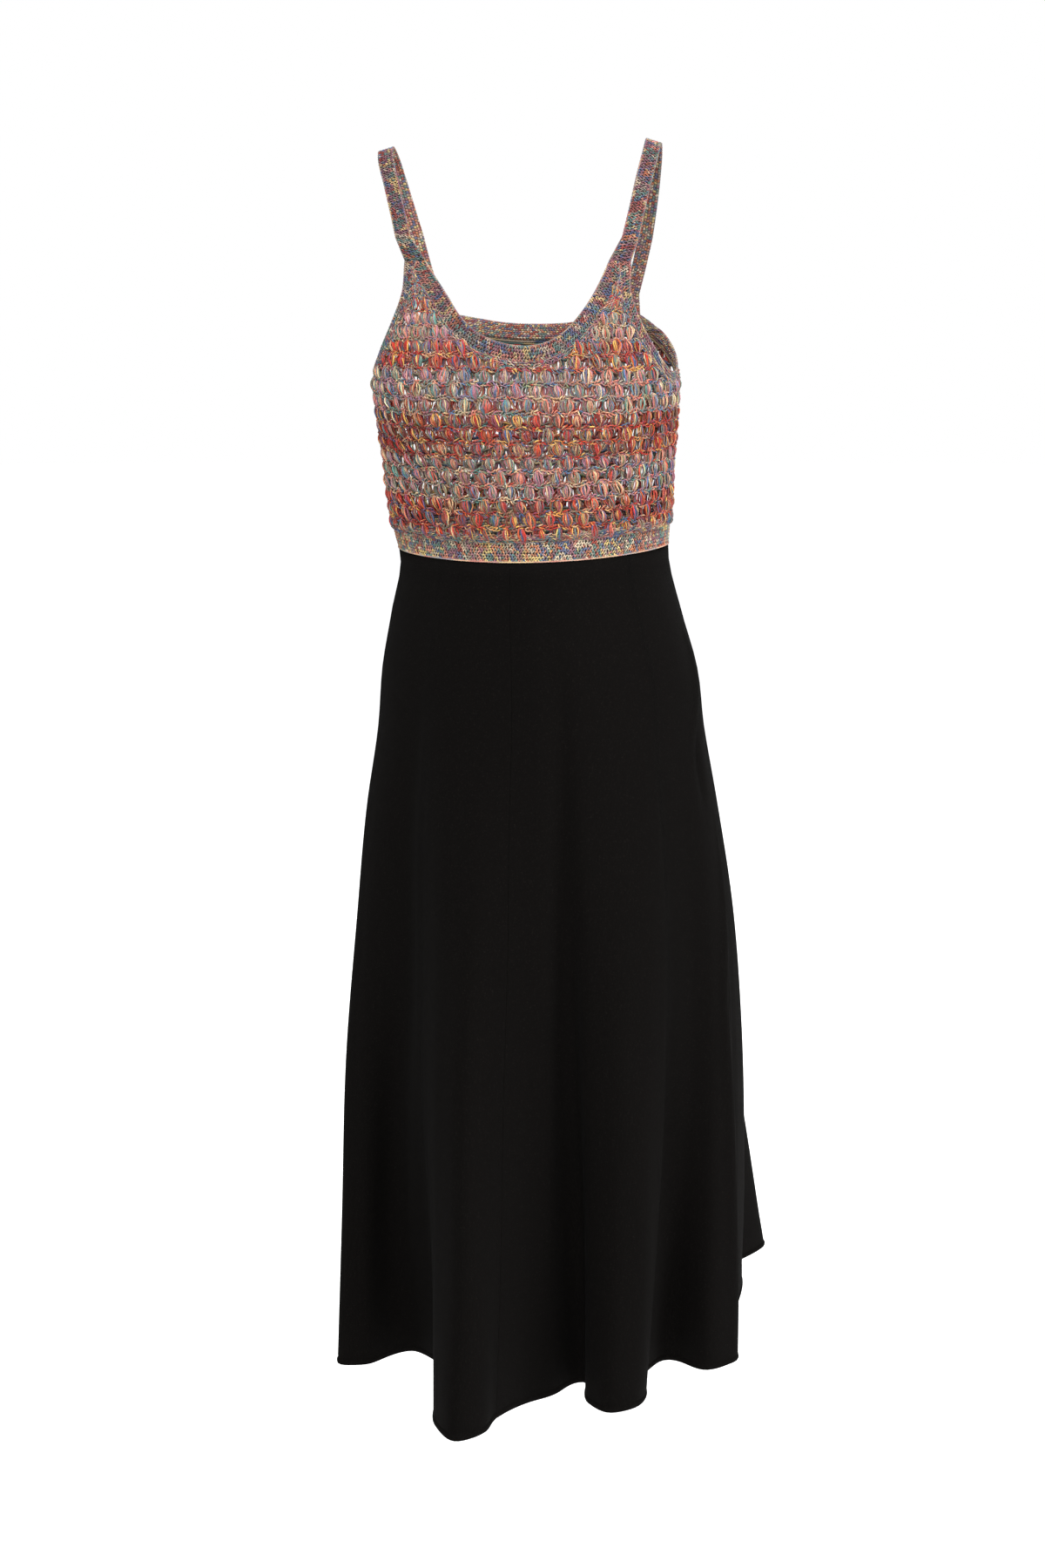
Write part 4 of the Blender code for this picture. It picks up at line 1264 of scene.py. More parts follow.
    def add_rim(self) -> None:
        """Two chains inside every edge but the side seams, and two more where the corners rise to the straps."""
        closed = np.concatenate([self.outline, self.outline[:1]])
        waist = self.form.waist_top
        insets = [(inset, waist) for inset in self.rim_insets]
        insets += [(inset, self.apex_level) for inset in self.apex_insets]
        for inset, lowest in insets:
            drawn = self.form.offset(closed, -inset)
            run = run_along(drawn * self.flat)
            fine = np.arange(0.0, run[-1], self.chain_stitch)
            angle, level = (np.interp(fine, run, values) for values in drawn.T)
            to_seam = np.minimum(np.abs(angle - self.start), np.abs(angle - self.end)) * self.flat_radius
            foot = level < waist + self.rim_foot
            kept = (self.depth(angle, level) > self.rim_margin) & ~((to_seam < self.seam_room) & ~foot)
            kept &= (level > lowest) | foot
            curve = stacked(angle, level)
            self.add_chains(curve, kept, Dye.NECK.value, self.rim_spread)


@dataclass
class Skirt:
    """The flared skirt: panels of plain knit that leave the hips in folds and end in a turned hem."""

    form: BodyForm
    top: float = -0.3796
    hem_level: float = -1.2415
    fold_top: float = -0.4700
    fold_ease: float = 1.5
    hem_turn: float = math.radians(7.0)
    back_rise: float = 0.028
    back_rise_start: float = 0.030
    back_rise_run: float = 0.180
    wall: float = 0.0018
    column: float = 0.0050
    rows: int = 58
    hem_roll: float = 0.0055
    hem_plump: float = 0.0009
    hem_groove: float = 0.0006
    seam_depth: float = 0.20
    seam_width: float = 0.0011
    form_step: float = 1e-3
    cloth_step: float = 1e-4
    seam_columns: tuple[float, ...] = (0.00015, 0.0008, 0.0016, 0.0026, 0.0040)
    hem_rows: tuple[float, ...] = (0.0, 0.0004, 0.0012, 0.0022, 0.0034, 0.0046, 0.0055, 0.0064, 0.0080)
    creases: tuple = (
        # height, half width, then the place and level of each point along the line
        (-0.0085, 0.024, (0.1285, -0.47), (0.1285, -0.57), (0.1161, -0.77), (0.1161, -0.95), (0.108, -1.22),
         (0.108, -1.55)),
        (-0.011, 0.026, (1.6, -0.53), (1.5985, -0.608), (1.5902, -0.832), (1.5529, -1.081), (1.53, -1.32)),
        (0.0042, 0.02, (1.7934, -0.74), (1.798, -0.9), (1.8037, -1.017), (1.8265, -1.2), (1.83, -1.42)),
        (-0.009, 0.022, (0.306, -0.83), (0.311, -0.915), (0.3234, -1.065), (0.3462, -1.224), (0.35, -1.48)),
        (0.0032, 0.018, (0.197, -0.72), (0.197, -0.851), (0.2426, -1.235), (0.25, -1.45)),
        (0.003, 0.01, (0.432, -0.455), (0.4271, -0.499), (0.3877, -0.561), (0.386, -0.585)),
        (-0.0034, 0.01, (0.3995, -0.555), (0.3981, -0.592), (0.399, -0.635)),
        (-0.0022, 0.008, (0.328, -1.081), (0.34, -1.079), (0.3981, -1.081), (0.412, -1.084)),
        (0.0042, 0.009, (0.45, -0.6), (0.435, -0.68), (0.4022, -0.8235), (0.4084, -0.943), (0.4209, -1.162),
         (0.425, -1.34)),
        (-0.006, 0.012, (0.47, -0.62), (0.456, -0.72), (0.429, -0.83), (0.434, -0.943), (0.445, -1.13),
         (0.45, -1.25)),
        (0.006, 0.075, (0.59, -0.5), (0.59, -0.72), (0.6, -0.95), (0.61, -1.2)),
        (-0.005, 0.016, (0.93, -0.6), (0.905, -0.85), (0.92, -1.06)),
        (-0.0058, 0.019, (1.21, -0.64), (1.24, -0.93), (1.205, -1.25)),
        (-0.003, 0.012, (1.08, -0.48), (1.065, -0.6)),
        (0.0044, 0.015, (1.37, -0.86), (1.39, -1.18)),
    )
    folds: tuple = (
        # across, front, hip angle
        (-0.028, 0.128, -5.0), (0.002, 0.093, 0.0), (0.038, 0.07, 5.0), (0.063, 0.048, 11.0),
        (0.068, 0.092, 20.0), (0.087, 0.114, 30.0), (0.11, 0.104, 39.0), (0.1215, 0.078, 46.0),
        (0.126, 0.02, 52.0), (0.15, -0.003, 60.0), (0.193, 0.012, 72.0), (0.224, -0.018, 82.0),
        (0.208, -0.058, 90.0), (0.229, -0.105, 98.0), (0.238, -0.18, 109.0), (0.227, -0.204, 117.0),
        (0.249, -0.226, 125.0), (0.2744, -0.27, 134.0), (0.228, -0.286, 143.0), (0.17, -0.229, 154.0),
        (0.108, -0.27, 166.0), (0.045, -0.213, 178.0), (-0.035, -0.263, 192.0), (-0.088, -0.21, 205.0),
        (-0.156, -0.228, 221.0), (-0.183, -0.172, 235.0), (-0.15, -0.108, 253.0),
        (-0.182, -0.04, 270.0), (-0.1905, -0.002, 279.0), (-0.165, 0.0, 286.0),
        (-0.112, -0.034, 306.0), (-0.09, -0.01, 315.0), (-0.0838, 0.08, 325.0),
        (-0.085, 0.145, 335.0), (-0.066, 0.178, 344.0), (-0.042, 0.158, 350.0),
    )
    panel_folds: tuple = ((0, "skirt_front_right"), (12, "skirt_back"), (27, "skirt_front_left"))

    def hem_table(self) -> tuple[Array, Array]:
        """Knots along the hem, and x, y and the hip angle at each, wrapped round at both ends."""
        across, front, hip = np.array(self.folds).T
        x = across * math.cos(self.hem_turn) + front * math.sin(self.hem_turn)
        y = across * math.sin(self.hem_turn) - front * math.cos(self.hem_turn)
        values = stacked(x, y, np.radians(hip))
        turn = np.array([0.0, 0.0, TURN])
        values = np.concatenate([values[-2:] - turn, values, values[:3] + turn])
        knots = run_along(values[:, :2])
        return knots - knots[2], values

    def crease_lift(self, places: Array, levels: Array) -> Array:
        """How far the creases push the cloth out, or pull it in, along its normal.

        Each crease is its height times a bell, exp(-(distance / half width)^2), of the distance to its line,
        and fades to nothing at both ends of the line, as a root of sin(pi share).

        Args:
            places: Distances along the hem.
            levels: Heights, from the waist down.

        Returns:
            Levels by places.
        """
        spot = stacked(places[None], levels[:, None])[..., None, :]
        total = np.zeros(spot.shape[:2])
        for height, width, *line in self.creases:
            corner = np.array(line)
            start, step = corner[:-1], np.diff(corner, axis=0)
            run = run_along(corner)
            share = clamped(((spot - start) * step).sum(axis=-1) / (step**2).sum(axis=-1))
            away = np.linalg.norm(spot - start - share[..., None] * step, axis=-1)
            nearest = away.argmin(axis=-1)[..., None]
            distance = np.take_along_axis(away, nearest, axis=-1)[..., 0]
            along = run[nearest] + np.take_along_axis(share, nearest, axis=-1) * np.diff(run)[nearest]
            fade = np.sin(math.pi * along[..., 0] / run[-1]) ** 0.7
            total += height * bell(distance / width) * np.nan_to_num(fade)
        return total

    @staticmethod
    def normals(surface: Callable[[Array, Array], Array], places: Array, levels: Array, step: float) -> Array:
        """Outward normals of a surface: the cross product of its differences along the hem and up.

        Args:
            surface: Gives levels by places by three for places and levels.
            places: Distances along the hem.
            levels: Heights.
            step: Half of the distance between the points that are compared.

        Returns:
            Levels by places by three.
        """
        along = surface(places + step, levels) - surface(places - step, levels)
        up = surface(places, levels + step) - surface(places, levels - step)
        return unit(np.cross(along, up))

    def points(self, places: Array, levels: Array) -> Array:
        """The inner surface with its creases, each laid along the normal of the uncreased form."""
        lift = self.crease_lift(places, levels)
        normals = self.normals(self.plain, places, levels, self.form_step)
        return self.plain(places, levels) + normals * lift[..., None]

    def plain(self, places: Array, levels: Array) -> Array:
        """The form without creases: the body, pulled towards the hem's own outline by a growing share.

        Args:
            places: Distances along the hem.
            levels: Heights, from the waist down.

        Returns:
            Levels by places by three.
        """
        knots, values = self.hem_table()
        x, y, angle = through(np.column_stack([knots, values]), places).T
        behind = smooth_step((y - self.back_rise_start) / self.back_rise_run)
        hem = stacked(x, y, self.hem_level + self.back_rise * behind)
        pull = (hem - self.form.points(angle, self.hem_level))[None]
        levels = levels[:, None]
        share = clamped((self.fold_top - levels) / (self.fold_top - self.hem_level)) ** self.fold_ease
        return self.form.points(angle[None], levels) + share[..., None] * pull

    def panels(self) -> list[tuple[str, float, float]]:
        """Each panel's name and where it starts and ends along the hem."""
        knots, _ = self.hem_table()
        starts = [knots[2 + fold] for fold, _ in self.panel_folds] + [knots[2 + len(self.folds)]]
        return [(name, *starts[k : k + 2]) for k, (_, name) in enumerate(self.panel_folds)]

    def panel(self, name: str, start: float, end: float, material: Material) -> Object:
        """One panel as a closed wall whose edges round over at the seams and whose hem is a soft roll.

        The outer lift is the wall, less a bell at each seam, plus half an oval over the hem's roll, with
        a narrow bell as a groove over the roll.

        Args:
            name: The panel's name.
            start: Where it starts along the hem.
            end: Where it ends.
            material: The knit's finish.

        Returns:
            The panel.
        """
        near, above = np.array(self.seam_columns), np.array(self.hem_rows)
        count = round((end - start) / self.column)
        places = np.concatenate([start + near, np.linspace(start, end, count)[2:-2], end - near[::-1]])
        levels = np.concatenate([self.hem_level + above, np.linspace(self.hem_level, self.top, self.rows)[2:]])
        normal = self.normals(self.points, places, levels, self.cloth_step)
        inner = self.points(places, levels)
        edge = np.minimum(places - start, end - places)
        seam = self.seam_depth * bell(edge / self.seam_width)
        high = (levels - self.hem_level)[:, None]
        roll = np.sqrt(clamped(1.0 - (2.0 * high / self.hem_roll - 1.0) ** 2))
        groove = bell((high - self.hem_roll * 1.12) / self.hem_groove)
        lift = self.wall * (1.0 - seam[None]) + self.hem_plump * (roll - 0.6 * groove)
        sunk = inner - normal * (self.hem_plump * roll)[..., None] * 0.6
        flat = stacked(places[None], levels[:, None])
        return cloth_wall(name, inner + normal * lift[..., None], sunk, material, flat)

    def flat_size(self, start: float, end: float) -> tuple[float, float, float]:
        """A panel's hem width, its height and its area laid flat, in metres."""
        grid = self.points(np.linspace(start, end, 80), np.linspace(self.top, self.hem_level, 60))
        return float(run_along(grid[-1])[-1]), float(run_along(grid[:, 40])[-1]), grid_area(grid)


@dataclass(frozen=True)
class StrapPath:
    """The middle line of a shoulder strap, with its width and how it turns and slopes."""

    shoulder_rise: float = 0.0035
    shoulder_lean: float = 0.0045
    stations: int = 150
    end_steps: int = 10
    rows: tuple = (
        # height, y, x, width, turn, slope
        (-0.085, -0.048, 0.1074, 0.016, 21.0, 2.0), (-0.06, -0.035, 0.1136, 0.015, 17.0, 5.0),
        (-0.032, -0.02, 0.1205, 0.015, 12.0, 10.0), (-0.01, -0.006, 0.1265, 0.015, 6.0, 15.0),
        (0.0, 0.011, 0.1285, 0.015, 0.0, 17.0), (-0.008, 0.028, 0.1275, 0.015, -6.0, 15.0),
        (-0.032, 0.043, 0.1235, 0.015, -12.0, 10.0), (-0.07, 0.056, 0.116, 0.015, -18.0, 5.0),
        (-0.11, 0.066, 0.107, 0.015, -24.0, 2.0), (-0.14, 0.072, 0.099, 0.016, -28.0, 0.0),
    )

    def ribbon(self, cut: CutLines, side: int) -> Ribbon:
        """The strap as a ruled strip from the front joint, over the shoulder, to the back joint.

        Args:
            cut: The bodice's cut lines, which hold both joints.
            side: 1 for the +X strap, -1 for the other.

        Returns:
            The strip, its columns running from the neck side to the arm side.
        """
        rows = np.array(self.rows)
        run = run_along(rows[:, :3])
        table = np.column_stack([run, rows])
        height, y, x, width, turn, slope = through(table, np.linspace(0.0, run[-1], self.stations)).T
        turn, slope = np.radians(turn), np.radians(slope)
        fade = clamped(1.0 - height / self.rows[0][0])
        middle = np.stack(
            [side * x - fade * self.shoulder_lean, y, height + fade * side * self.shoulder_rise], axis=-1
        )
        across = stacked(side * np.cos(turn) * np.cos(slope), np.sin(turn), -np.sin(slope))
        tangent = unit(np.gradient(middle, axis=0))
        normal = unit(np.cross(across, tangent)) * side
        offsets = np.linspace(-0.5, 0.5, 3)[None, :, None] * width[:, None, None]
        inner = middle[:, None] + offsets * across[:, None]
        normals = np.broadcast_to(normal[:, None], inner.shape)
        raised = np.array([0.0, SEAM_GAP])
        joints = (np.linspace(*cut.joint_ends(side), 3) + raised, on_side(cut.back_joint(), side) + raised)
        front, back = ((cut.form.points(*joint.T)[None], cut.form.normals(*joint.T)[None]) for joint in joints)
        inner = self.filled(np.concatenate([front[0], inner, back[0]]))
        normals = self.filled(np.concatenate([front[1], normals, back[1]]))
        return Ribbon(inner[::side], normals[::side])

    def filled(self, grid: Array) -> Array:
        """A grid with its long first and last steps split into even ones."""
        t = np.linspace(0.0, 1.0, self.end_steps, endpoint=False)[:, None, None]
        start = grid[0] * (1.0 - t) + grid[1] * t
        end = grid[-2] * (1.0 - t) + grid[-1] * t
        return np.concatenate([start, grid[1:-2], end, grid[-1:]])


@dataclass(frozen=True)
class BandCutter:
    """Lays the crocheted bands on the body between their free edges and their seams."""

    cut: CutLines
    station: float = 0.003

    def ribbon(self, edge: Array, seam: Array) -> Ribbon:
        """A band ruled between two curves of (angle, level) rows, with even stations."""
        form = self.cut.form
        count = max(12, round(float(form.run(edge)[-1]) / self.station))
        edge, seam = form.resample(edge, count), form.resample(seam, count)
        mix = even(5)[None, :, None]
        grid = edge[:, None] * (1.0 - mix) + seam[:, None] * mix
        if float((seam[-1] - seam[0])[0]) < 0.0:
            grid = grid[::-1]
        angle, level = grid[..., 0], grid[..., 1]
        return Ribbon(form.points(angle, level), form.normals(angle, level))

    def ribbons(self) -> dict[str, Ribbon]:
        """Every band by the name of its CAD node."""
        cut = self.cut
        found = {
            "neck_band_front": self.ribbon(cut.neckline(), cut.neck_band_seam()),
            "neck_band_back": self.ribbon(cut.back_neckline(), cut.back_band_seam()),
        }
        for side, name in SIDES.items():
            edge = below(on_side(cut.armhole(), side)[::-1], cut.band_end)[::-1]
            found[f"armhole_band_{name}"] = self.ribbon(edge, cut.armhole_band_seam(side))
        top, half = cut.form.waist_top, TURN / 4 - cut.side_gap
        for name, middle in (("front", 0.0), ("back", math.pi)):
            upper, lower = (
                cut.level_line(middle - half, middle + half, level) for level in (top, top - cut.waistband)
            )
            found[f"waistband_{name}"] = self.ribbon(upper, cut.stationed(lower))
        return found


def feed(tree: Tree, socket: Socket, value: object) -> None:
    """Link a socket to another one, or set it to a number or a linear colour."""
    if isinstance(value, Socket):
        tree.links.new(value, socket)
    else:
        socket.default_value = (*value, 1.0) if isinstance(value, tuple) else value


def shader_node(tree: Tree, kind: str, inputs: dict[str | int, object] | None = None, **settings: object) -> Node:
    """A new node of a tree with its inputs and settings filled in.

    Args:
        tree: The tree that it joins.
        kind: Blender's name for the node, without "ShaderNode".
        inputs: By the inputs' names or numbers, other nodes' sockets, numbers or linear colours.
        settings: Properties of the node.

    Returns:
        The node.
    """
    node = tree.nodes.new(f"ShaderNode{kind}")
    for name, value in settings.items():
        setattr(node, name, value)
    for name, value in (inputs or {}).items():
        feed(tree, node.inputs[name], value)
    return node


def maths(tree: Tree, operation: str, *values: object) -> Socket:
    """The output of a Math node whose inputs are numbers or other nodes' sockets."""
    return shader_node(tree, "Math", dict(enumerate(values)), operation=operation).outputs[0]


def mixed_colour(tree: Tree, share: object, low: object, high: object) -> Socket:
    """The output of a Mix node between two colours, each a socket or a linear colour."""
    return shader_node(tree, "Mix", {0: share, 6: low, 7: high}, data_type="RGBA").outputs[2]


def ranged(tree: Tree, value: Socket, low: float, high: float, **settings: object) -> Socket:
    """The output of a Map Range node from a low and a high value to 0 and 1."""
    return shader_node(tree, "MapRange", {"Value": value, "From Min": low, "From Max": high}, **settings).outputs[0]


def noise(tree: Tree, vector: Socket, **values: float) -> Socket:
    """The grey output of a Noise Texture read at a vector."""
    return shader_node(tree, "TexNoise", {"Vector": vector, **values}).outputs["Fac"]


class EffectGroups:
    """The node groups that the finishes share, each built once."""

    def __init__(self) -> None:
        """Build the plied yarn and the knitted jersey groups."""
        self.yarn = self.plied_yarn()
        self.jersey = self.knitted_jersey()

    @staticmethod
    def new_group(name: str, inputs: dict[str, str], outputs: dict[str, str]) -> tuple[Tree, dict, Node]:
        """An empty group with its sockets.

        Args:
            name: The group's name.
            inputs: Kinds of input sockets by name: Vector, Color or Float.
            outputs: Kinds of output sockets by name.

        Returns:
            The group, the sockets that its inputs come in by, and its output node.
        """
        group = bpy.data.node_groups.new(name, "ShaderNodeTree")
        for names, direction in ((inputs, "INPUT"), (outputs, "OUTPUT")):
            for socket, kind in names.items():
                group.interface.new_socket(socket, in_out=direction, socket_type=f"NodeSocket{kind}")
        return group, group.nodes.new("NodeGroupInput").outputs, group.nodes.new("NodeGroupOutput")

    def plied_yarn(self) -> Tree:
        """Thin plies that wind slowly round a strand: a stripe is sin(n t + k run), t round it and run along it.
        The colour is darkened in the grooves between the plies as painted shade.
        """
        group, given, end = self.new_group(
            "plied_yarn",
            {"Ply": "Vector", "Main": "Color", "Second": "Color", "Plies": "Float", "Turns": "Float",
             "Blend": "Float"},
            {"Colour": "Color", "Height": "Float"},
        )
        m = partial(maths, group)
        cos, sin, run = shader_node(group, "SeparateXYZ", {0: given["Ply"]}).outputs
        fibre = noise(group, shader_node(group, "TexCoord").outputs["Object"], Scale=1500.0, Detail=3.0)
        wound = m("ADD", m("MULTIPLY", m("ARCTAN2", sin, cos), given["Plies"]), m("MULTIPLY", run, given["Turns"]))
        stripe = m("SINE", m("MULTIPLY_ADD", fibre, 2.4, wound))
        soft = ranged(group, stripe, -0.10, 0.60, interpolation_type="SMOOTHSTEP")
        colour = mixed_colour(group, m("MULTIPLY", soft, given["Blend"]), given["Main"], given["Second"])
        bright = m("MULTIPLY_ADD", fibre, 0.8, 0.60)
        # Painted shade: the colour darkens where the stripe crosses zero, in the grooves between plies.
        ply_groove_painted_shade = m("MULTIPLY_ADD", m("ABSOLUTE", stripe), 0.45, 0.62)
        value = m("MULTIPLY", bright, ply_groove_painted_shade)
        tone = shader_node(group, "HueSaturation", {"Value": value, "Color": colour})
        feed(group, end.inputs["Colour"], tone.outputs[0])
        feed(group, end.inputs["Height"], m("MULTIPLY_ADD", fibre, 0.5, m("ABSOLUTE", stripe)))
        return group

    def knitted_jersey(self) -> Tree:
        """Fine knit: ribs of width w whose stitches lean in a V, as |sin(pi x/w)| and a slanted wave."""
        group, given, end = self.new_group(
            "knitted_jersey",
            {"Cloth": "Vector", "Wale": "Float", "Course": "Float"},
            {"Height": "Float", "Fluff": "Float"},
        )
        m = partial(maths, group)
        across, up, _ = shader_node(group, "SeparateXYZ", {0: given["Cloth"]}).outputs
        column = m("DIVIDE", m("MULTIPLY", across, math.pi), given["Wale"])
        wale = m("ABSOLUTE", m("SINE", column))
        lean = m("MULTIPLY", m("ABSOLUTE", m("COSINE", column)), 1.6)
        climb = m("DIVIDE", m("MULTIPLY", up, TURN), given["Course"])
        height = m("MULTIPLY_ADD", m("SINE", m("ADD", climb, lean)), 0.3, wale)
        place = shader_node(group, "TexCoord").outputs["Object"]
        fluff = noise(group, place, Scale=700.0, Detail=4.0, Roughness=0.7)
        feed(group, end.inputs["Height"], m("MULTIPLY_ADD", fluff, 1.2, height))
        feed(group, end.inputs["Fluff"], ranged(group, fluff, 0.56, 0.76))
        return group


def principled(name: str, **values: object) -> tuple[Material, Tree, Node]:
    """A material with a Principled shader whose sockets hold the given constant values.

    Args:
        name: The material's name.
        values: Input values; an underscore in a name stands for a space.

    Returns:
        The material, its tree and its shader node.
    """
    material = bpy.data.materials.new(name)
    material.use_nodes = True
    shader = material.node_tree.nodes["Principled BSDF"]
    for key, value in values.items():
        feed(material.node_tree, shader.inputs[key.replace("_", " ")], value)
    return material, material.node_tree, shader


def dressed(tree: Tree, shader: Node, colour: Socket, height: Socket, depth: float) -> None:
    """Feed a colour into a shader, and a height into its normal through a Bump node.

    Args:
        tree: The material's tree.
        shader: Its Principled shader.
        colour: The colour's socket.
        height: The height's socket.
        depth: What a height of 1 stands for, in metres.
    """
    bump = shader_node(tree, "Bump", {"Strength": 1.0, "Distance": depth, "Height": height})
    feed(tree, shader.inputs["Base Color"], colour)
    feed(tree, shader.inputs["Normal"], bump.outputs[0])


@dataclass(frozen=True)
class YarnFinish:
    """Matt cotton yarn of two plies, coloured point by point from the strand's own attributes."""

    name: str
    plies: float = 2.0
    turns: float = 330.0
    blend: float = 0.80
    relief: float = 0.00016
    roughness: float = 0.82
    sheen: float = 0.25
    sheen_roughness: float = 0.5
    specular: float = 0.3

    def material(self, groups: EffectGroups) -> Material:
        """The yarn's material."""
        material, tree, shader = principled(
            self.name, Roughness=self.roughness, Sheen_Weight=self.sheen, Sheen_Roughness=self.sheen_roughness,
            Specular_IOR_Level=self.specular,
        )
        yarn = shader_node(tree, "Group", node_tree=groups.yarn)
        values = {"Plies": self.plies, "Turns": self.turns, "Blend": self.blend}
        for attribute, socket, output in (
            ("yarn_ply", "Ply", "Vector"), ("yarn_main", "Main", "Color"), ("yarn_second", "Second", "Color")
        ):
            values[socket] = shader_node(tree, "Attribute", attribute_name=attribute).outputs[output]
        for socket, value in values.items():
            feed(tree, yarn.inputs[socket], value)
        dressed(tree, shader, yarn.outputs["Colour"], yarn.outputs["Height"], self.relief)
        return material


@dataclass(frozen=True)
class GroundFinish:
    """The ground of close crochet: its outer face, seen in the gaps between the stitch yarns, is painted dark shade
    all over, and its inside has rows of mixed stitches whose edges are painted dark shade.
    """

    name: str = "band_ground"
    stitch: float = 0.0029
    relief: float = 0.0008
    wobble: float = 420.0
    # deep is painted shade over the whole outer face; gap is painted shade at the edges of each inside stitch.
    deep: Colour = linear(52, 34, 31)
    gap: Colour = linear(54, 40, 38)
    faded: Colour = linear(150, 116, 104)
    fading: float = 0.25

    def stitch_colours(self, tree: Tree, chance: Socket) -> Socket:
        """The band dye's colours as even steps of a Color Ramp, read at a chance of 0 to 1."""
        ramp = shader_node(tree, "ValToRGB", {0: chance})
        colours = Dye.BAND.value.colours
        ramp.color_ramp.interpolation = "CONSTANT"
        for stop in np.linspace(0.0, 1.0, len(colours), endpoint=False)[1:-1]:
            ramp.color_ramp.elements.new(float(stop))
        ramp.color_ramp.elements[-1].position = 1.0 - 1.0 / len(colours)
        for stop, colour in zip(ramp.color_ramp.elements, colours):
            stop.color = (*colour, 1.0)
        return ramp.outputs[0]

    def material(self) -> Material:
        """The ground's material: each place of a brick grid is a slanting stitch with a colour of its own, darkened
        at its edges as painted shade.
        """
        material, tree, shader = principled(self.name, Roughness=0.9, Sheen_Weight=0.15, Sheen_Roughness=0.5)
        m = partial(maths, tree)
        cloth = shader_node(tree, "UVMap", uv_map="cloth").outputs[0]
        along, up, _ = shader_node(tree, "SeparateXYZ", {0: cloth}).outputs
        row = m("MULTIPLY_ADD", up, 1.0 / self.stitch, noise(tree, cloth, Scale=self.wobble))
        row_number, row_share = m("FLOOR", row), m("FRACT", row)
        slant = m("MULTIPLY", m("PINGPONG", row_number, 1.0), 0.8)
        shifted = m("MULTIPLY_ADD", row_share, m("SUBTRACT", slant, 0.4), row_number)
        column = m("ADD", m("MULTIPLY", along, 1.0 / self.stitch), m("MULTIPLY", shifted, 0.55))
        place = shader_node(tree, "CombineXYZ", {0: m("FLOOR", column), 1: row_number})
        chance = shader_node(tree, "TexWhiteNoise", {"Vector": place.outputs[0]}, noise_dimensions="2D")
        crown_relief_and_gap_shade = m("MULTIPLY", m("SINE", m("MULTIPLY", row_share, math.pi)),
                  m("SINE", m("MULTIPLY", m("FRACT", column), math.pi)))
        crown_relief_and_gap_shade = m("POWER", crown_relief_and_gap_shade, 0.5)
        colours = self.stitch_colours(tree, chance.outputs["Value"])
        # Painted shade: each stitch's edges, where its crown falls off, take the dark gap colour; the crown is also
        # the bump's height.
        stitches = mixed_colour(tree, crown_relief_and_gap_shade, self.gap, mixed_colour(tree, self.fading, colours, self.faded))
        inside = shader_node(tree, "Attribute", attribute_name="cloth_inside").outputs["Fac"]
        # Painted shade: the outer face takes the dark deep colour, and the inside takes the stitches.
        dressed(tree, shader, mixed_colour(tree, inside, self.deep, stitches), crown_relief_and_gap_shade, self.relief)
        return material


@dataclass(frozen=True)
class JerseyFinish:
    """Fine near-black jersey, matt, with a little pale fluff caught in it."""

    name: str = "skirt_knit"
    colour: Colour = (0.0045, 0.0040, 0.0037)
    fluff: Colour = (0.016, 0.014, 0.012)
    fluffy: float = 0.8
    wale: float = 0.0012
    course: float = 0.0010
    relief: float = 0.00012
    roughness: float = 0.85
    sheen: float = 0.006
    sheen_roughness: float = 0.45
    specular: float = 0.02

    def material(self, groups: EffectGroups) -> Material:
        """The jersey's material."""
        material, tree, shader = principled(
            self.name, Roughness=self.roughness, Sheen_Weight=self.sheen, Sheen_Roughness=self.sheen_roughness,
            Specular_IOR_Level=self.specular,
        )
        knit = shader_node(tree, "Group", node_tree=groups.jersey)
        cloth = shader_node(tree, "UVMap", uv_map="cloth").outputs[0]
        for socket, value in (("Wale", self.wale), ("Course", self.course), ("Cloth", cloth)):
            feed(tree, knit.inputs[socket], value)
        share = maths(tree, "MULTIPLY", knit.outputs["Fluff"], self.fluffy)
        colour = mixed_colour(tree, share, self.colour, self.fluff)
        dressed(tree, shader, colour, knit.outputs["Height"], self.relief)
        return material


@dataclass(frozen=True)
class Viewpoint:
    """Where the camera stands: turned a little to the +X side and tipped down."""

    turned: float = math.radians(7.0)
    away: float = 2.6
    height: float = -0.0745
    tipped: float = math.radians(11.85)
    focal_pixels: float = 3051.0
    picture: tuple[int, int] = (1200, 1800)
    film: float = 36.0

    def place(self) -> None:
        """Add the scene's camera: its lens is the focal length in pixels as a share of the long side."""
        camera = bpy.data.cameras.new("camera")
        camera.sensor_fit, camera.sensor_width = "AUTO", self.film
        camera.lens = self.focal_pixels * self.film / max(self.picture)
        camera.clip_start, camera.clip_end = 0.05, 60.0
        holder = bpy.data.objects.new("camera", camera)
        across, back = math.sin(self.turned) * self.away, -math.cos(self.turned) * self.away
        holder.location = (across, back, self.height)
        holder.rotation_euler = (TURN / 4 - self.tipped, 0.0, self.turned)
        bpy.context.scene.collection.objects.link(holder)
        bpy.context.scene.camera = holder


@dataclass(frozen=True)
class Softbox:
    """A large soft light: where it stands, its power in watts, what it points at and its size."""

    name: str
    place: tuple[float, float, float]
    power: float
    aim: tuple[float, float, float] = (0.0, 0.0, -0.55)
    size: tuple[float, float] = (1.1, 2.2)

    def build(self) -> None:
        """Put the light into the scene, turned so that its -Z axis points at its aim."""
        light = bpy.data.lights.new(self.name, "AREA")
        light.shape, light.energy = "RECTANGLE", self.power
        light.size, light.size_y = self.size
        holder = bpy.data.objects.new(self.name, light)
        x, y, z = (float(value) for value in unit(np.array(self.place) - np.array(self.aim)))
        holder.location = self.place
        holder.rotation_euler = (math.acos(z), 0.0, math.atan2(y, x) + TURN / 4)
        holder.visible_camera = False
        bpy.context.scene.collection.objects.link(holder)


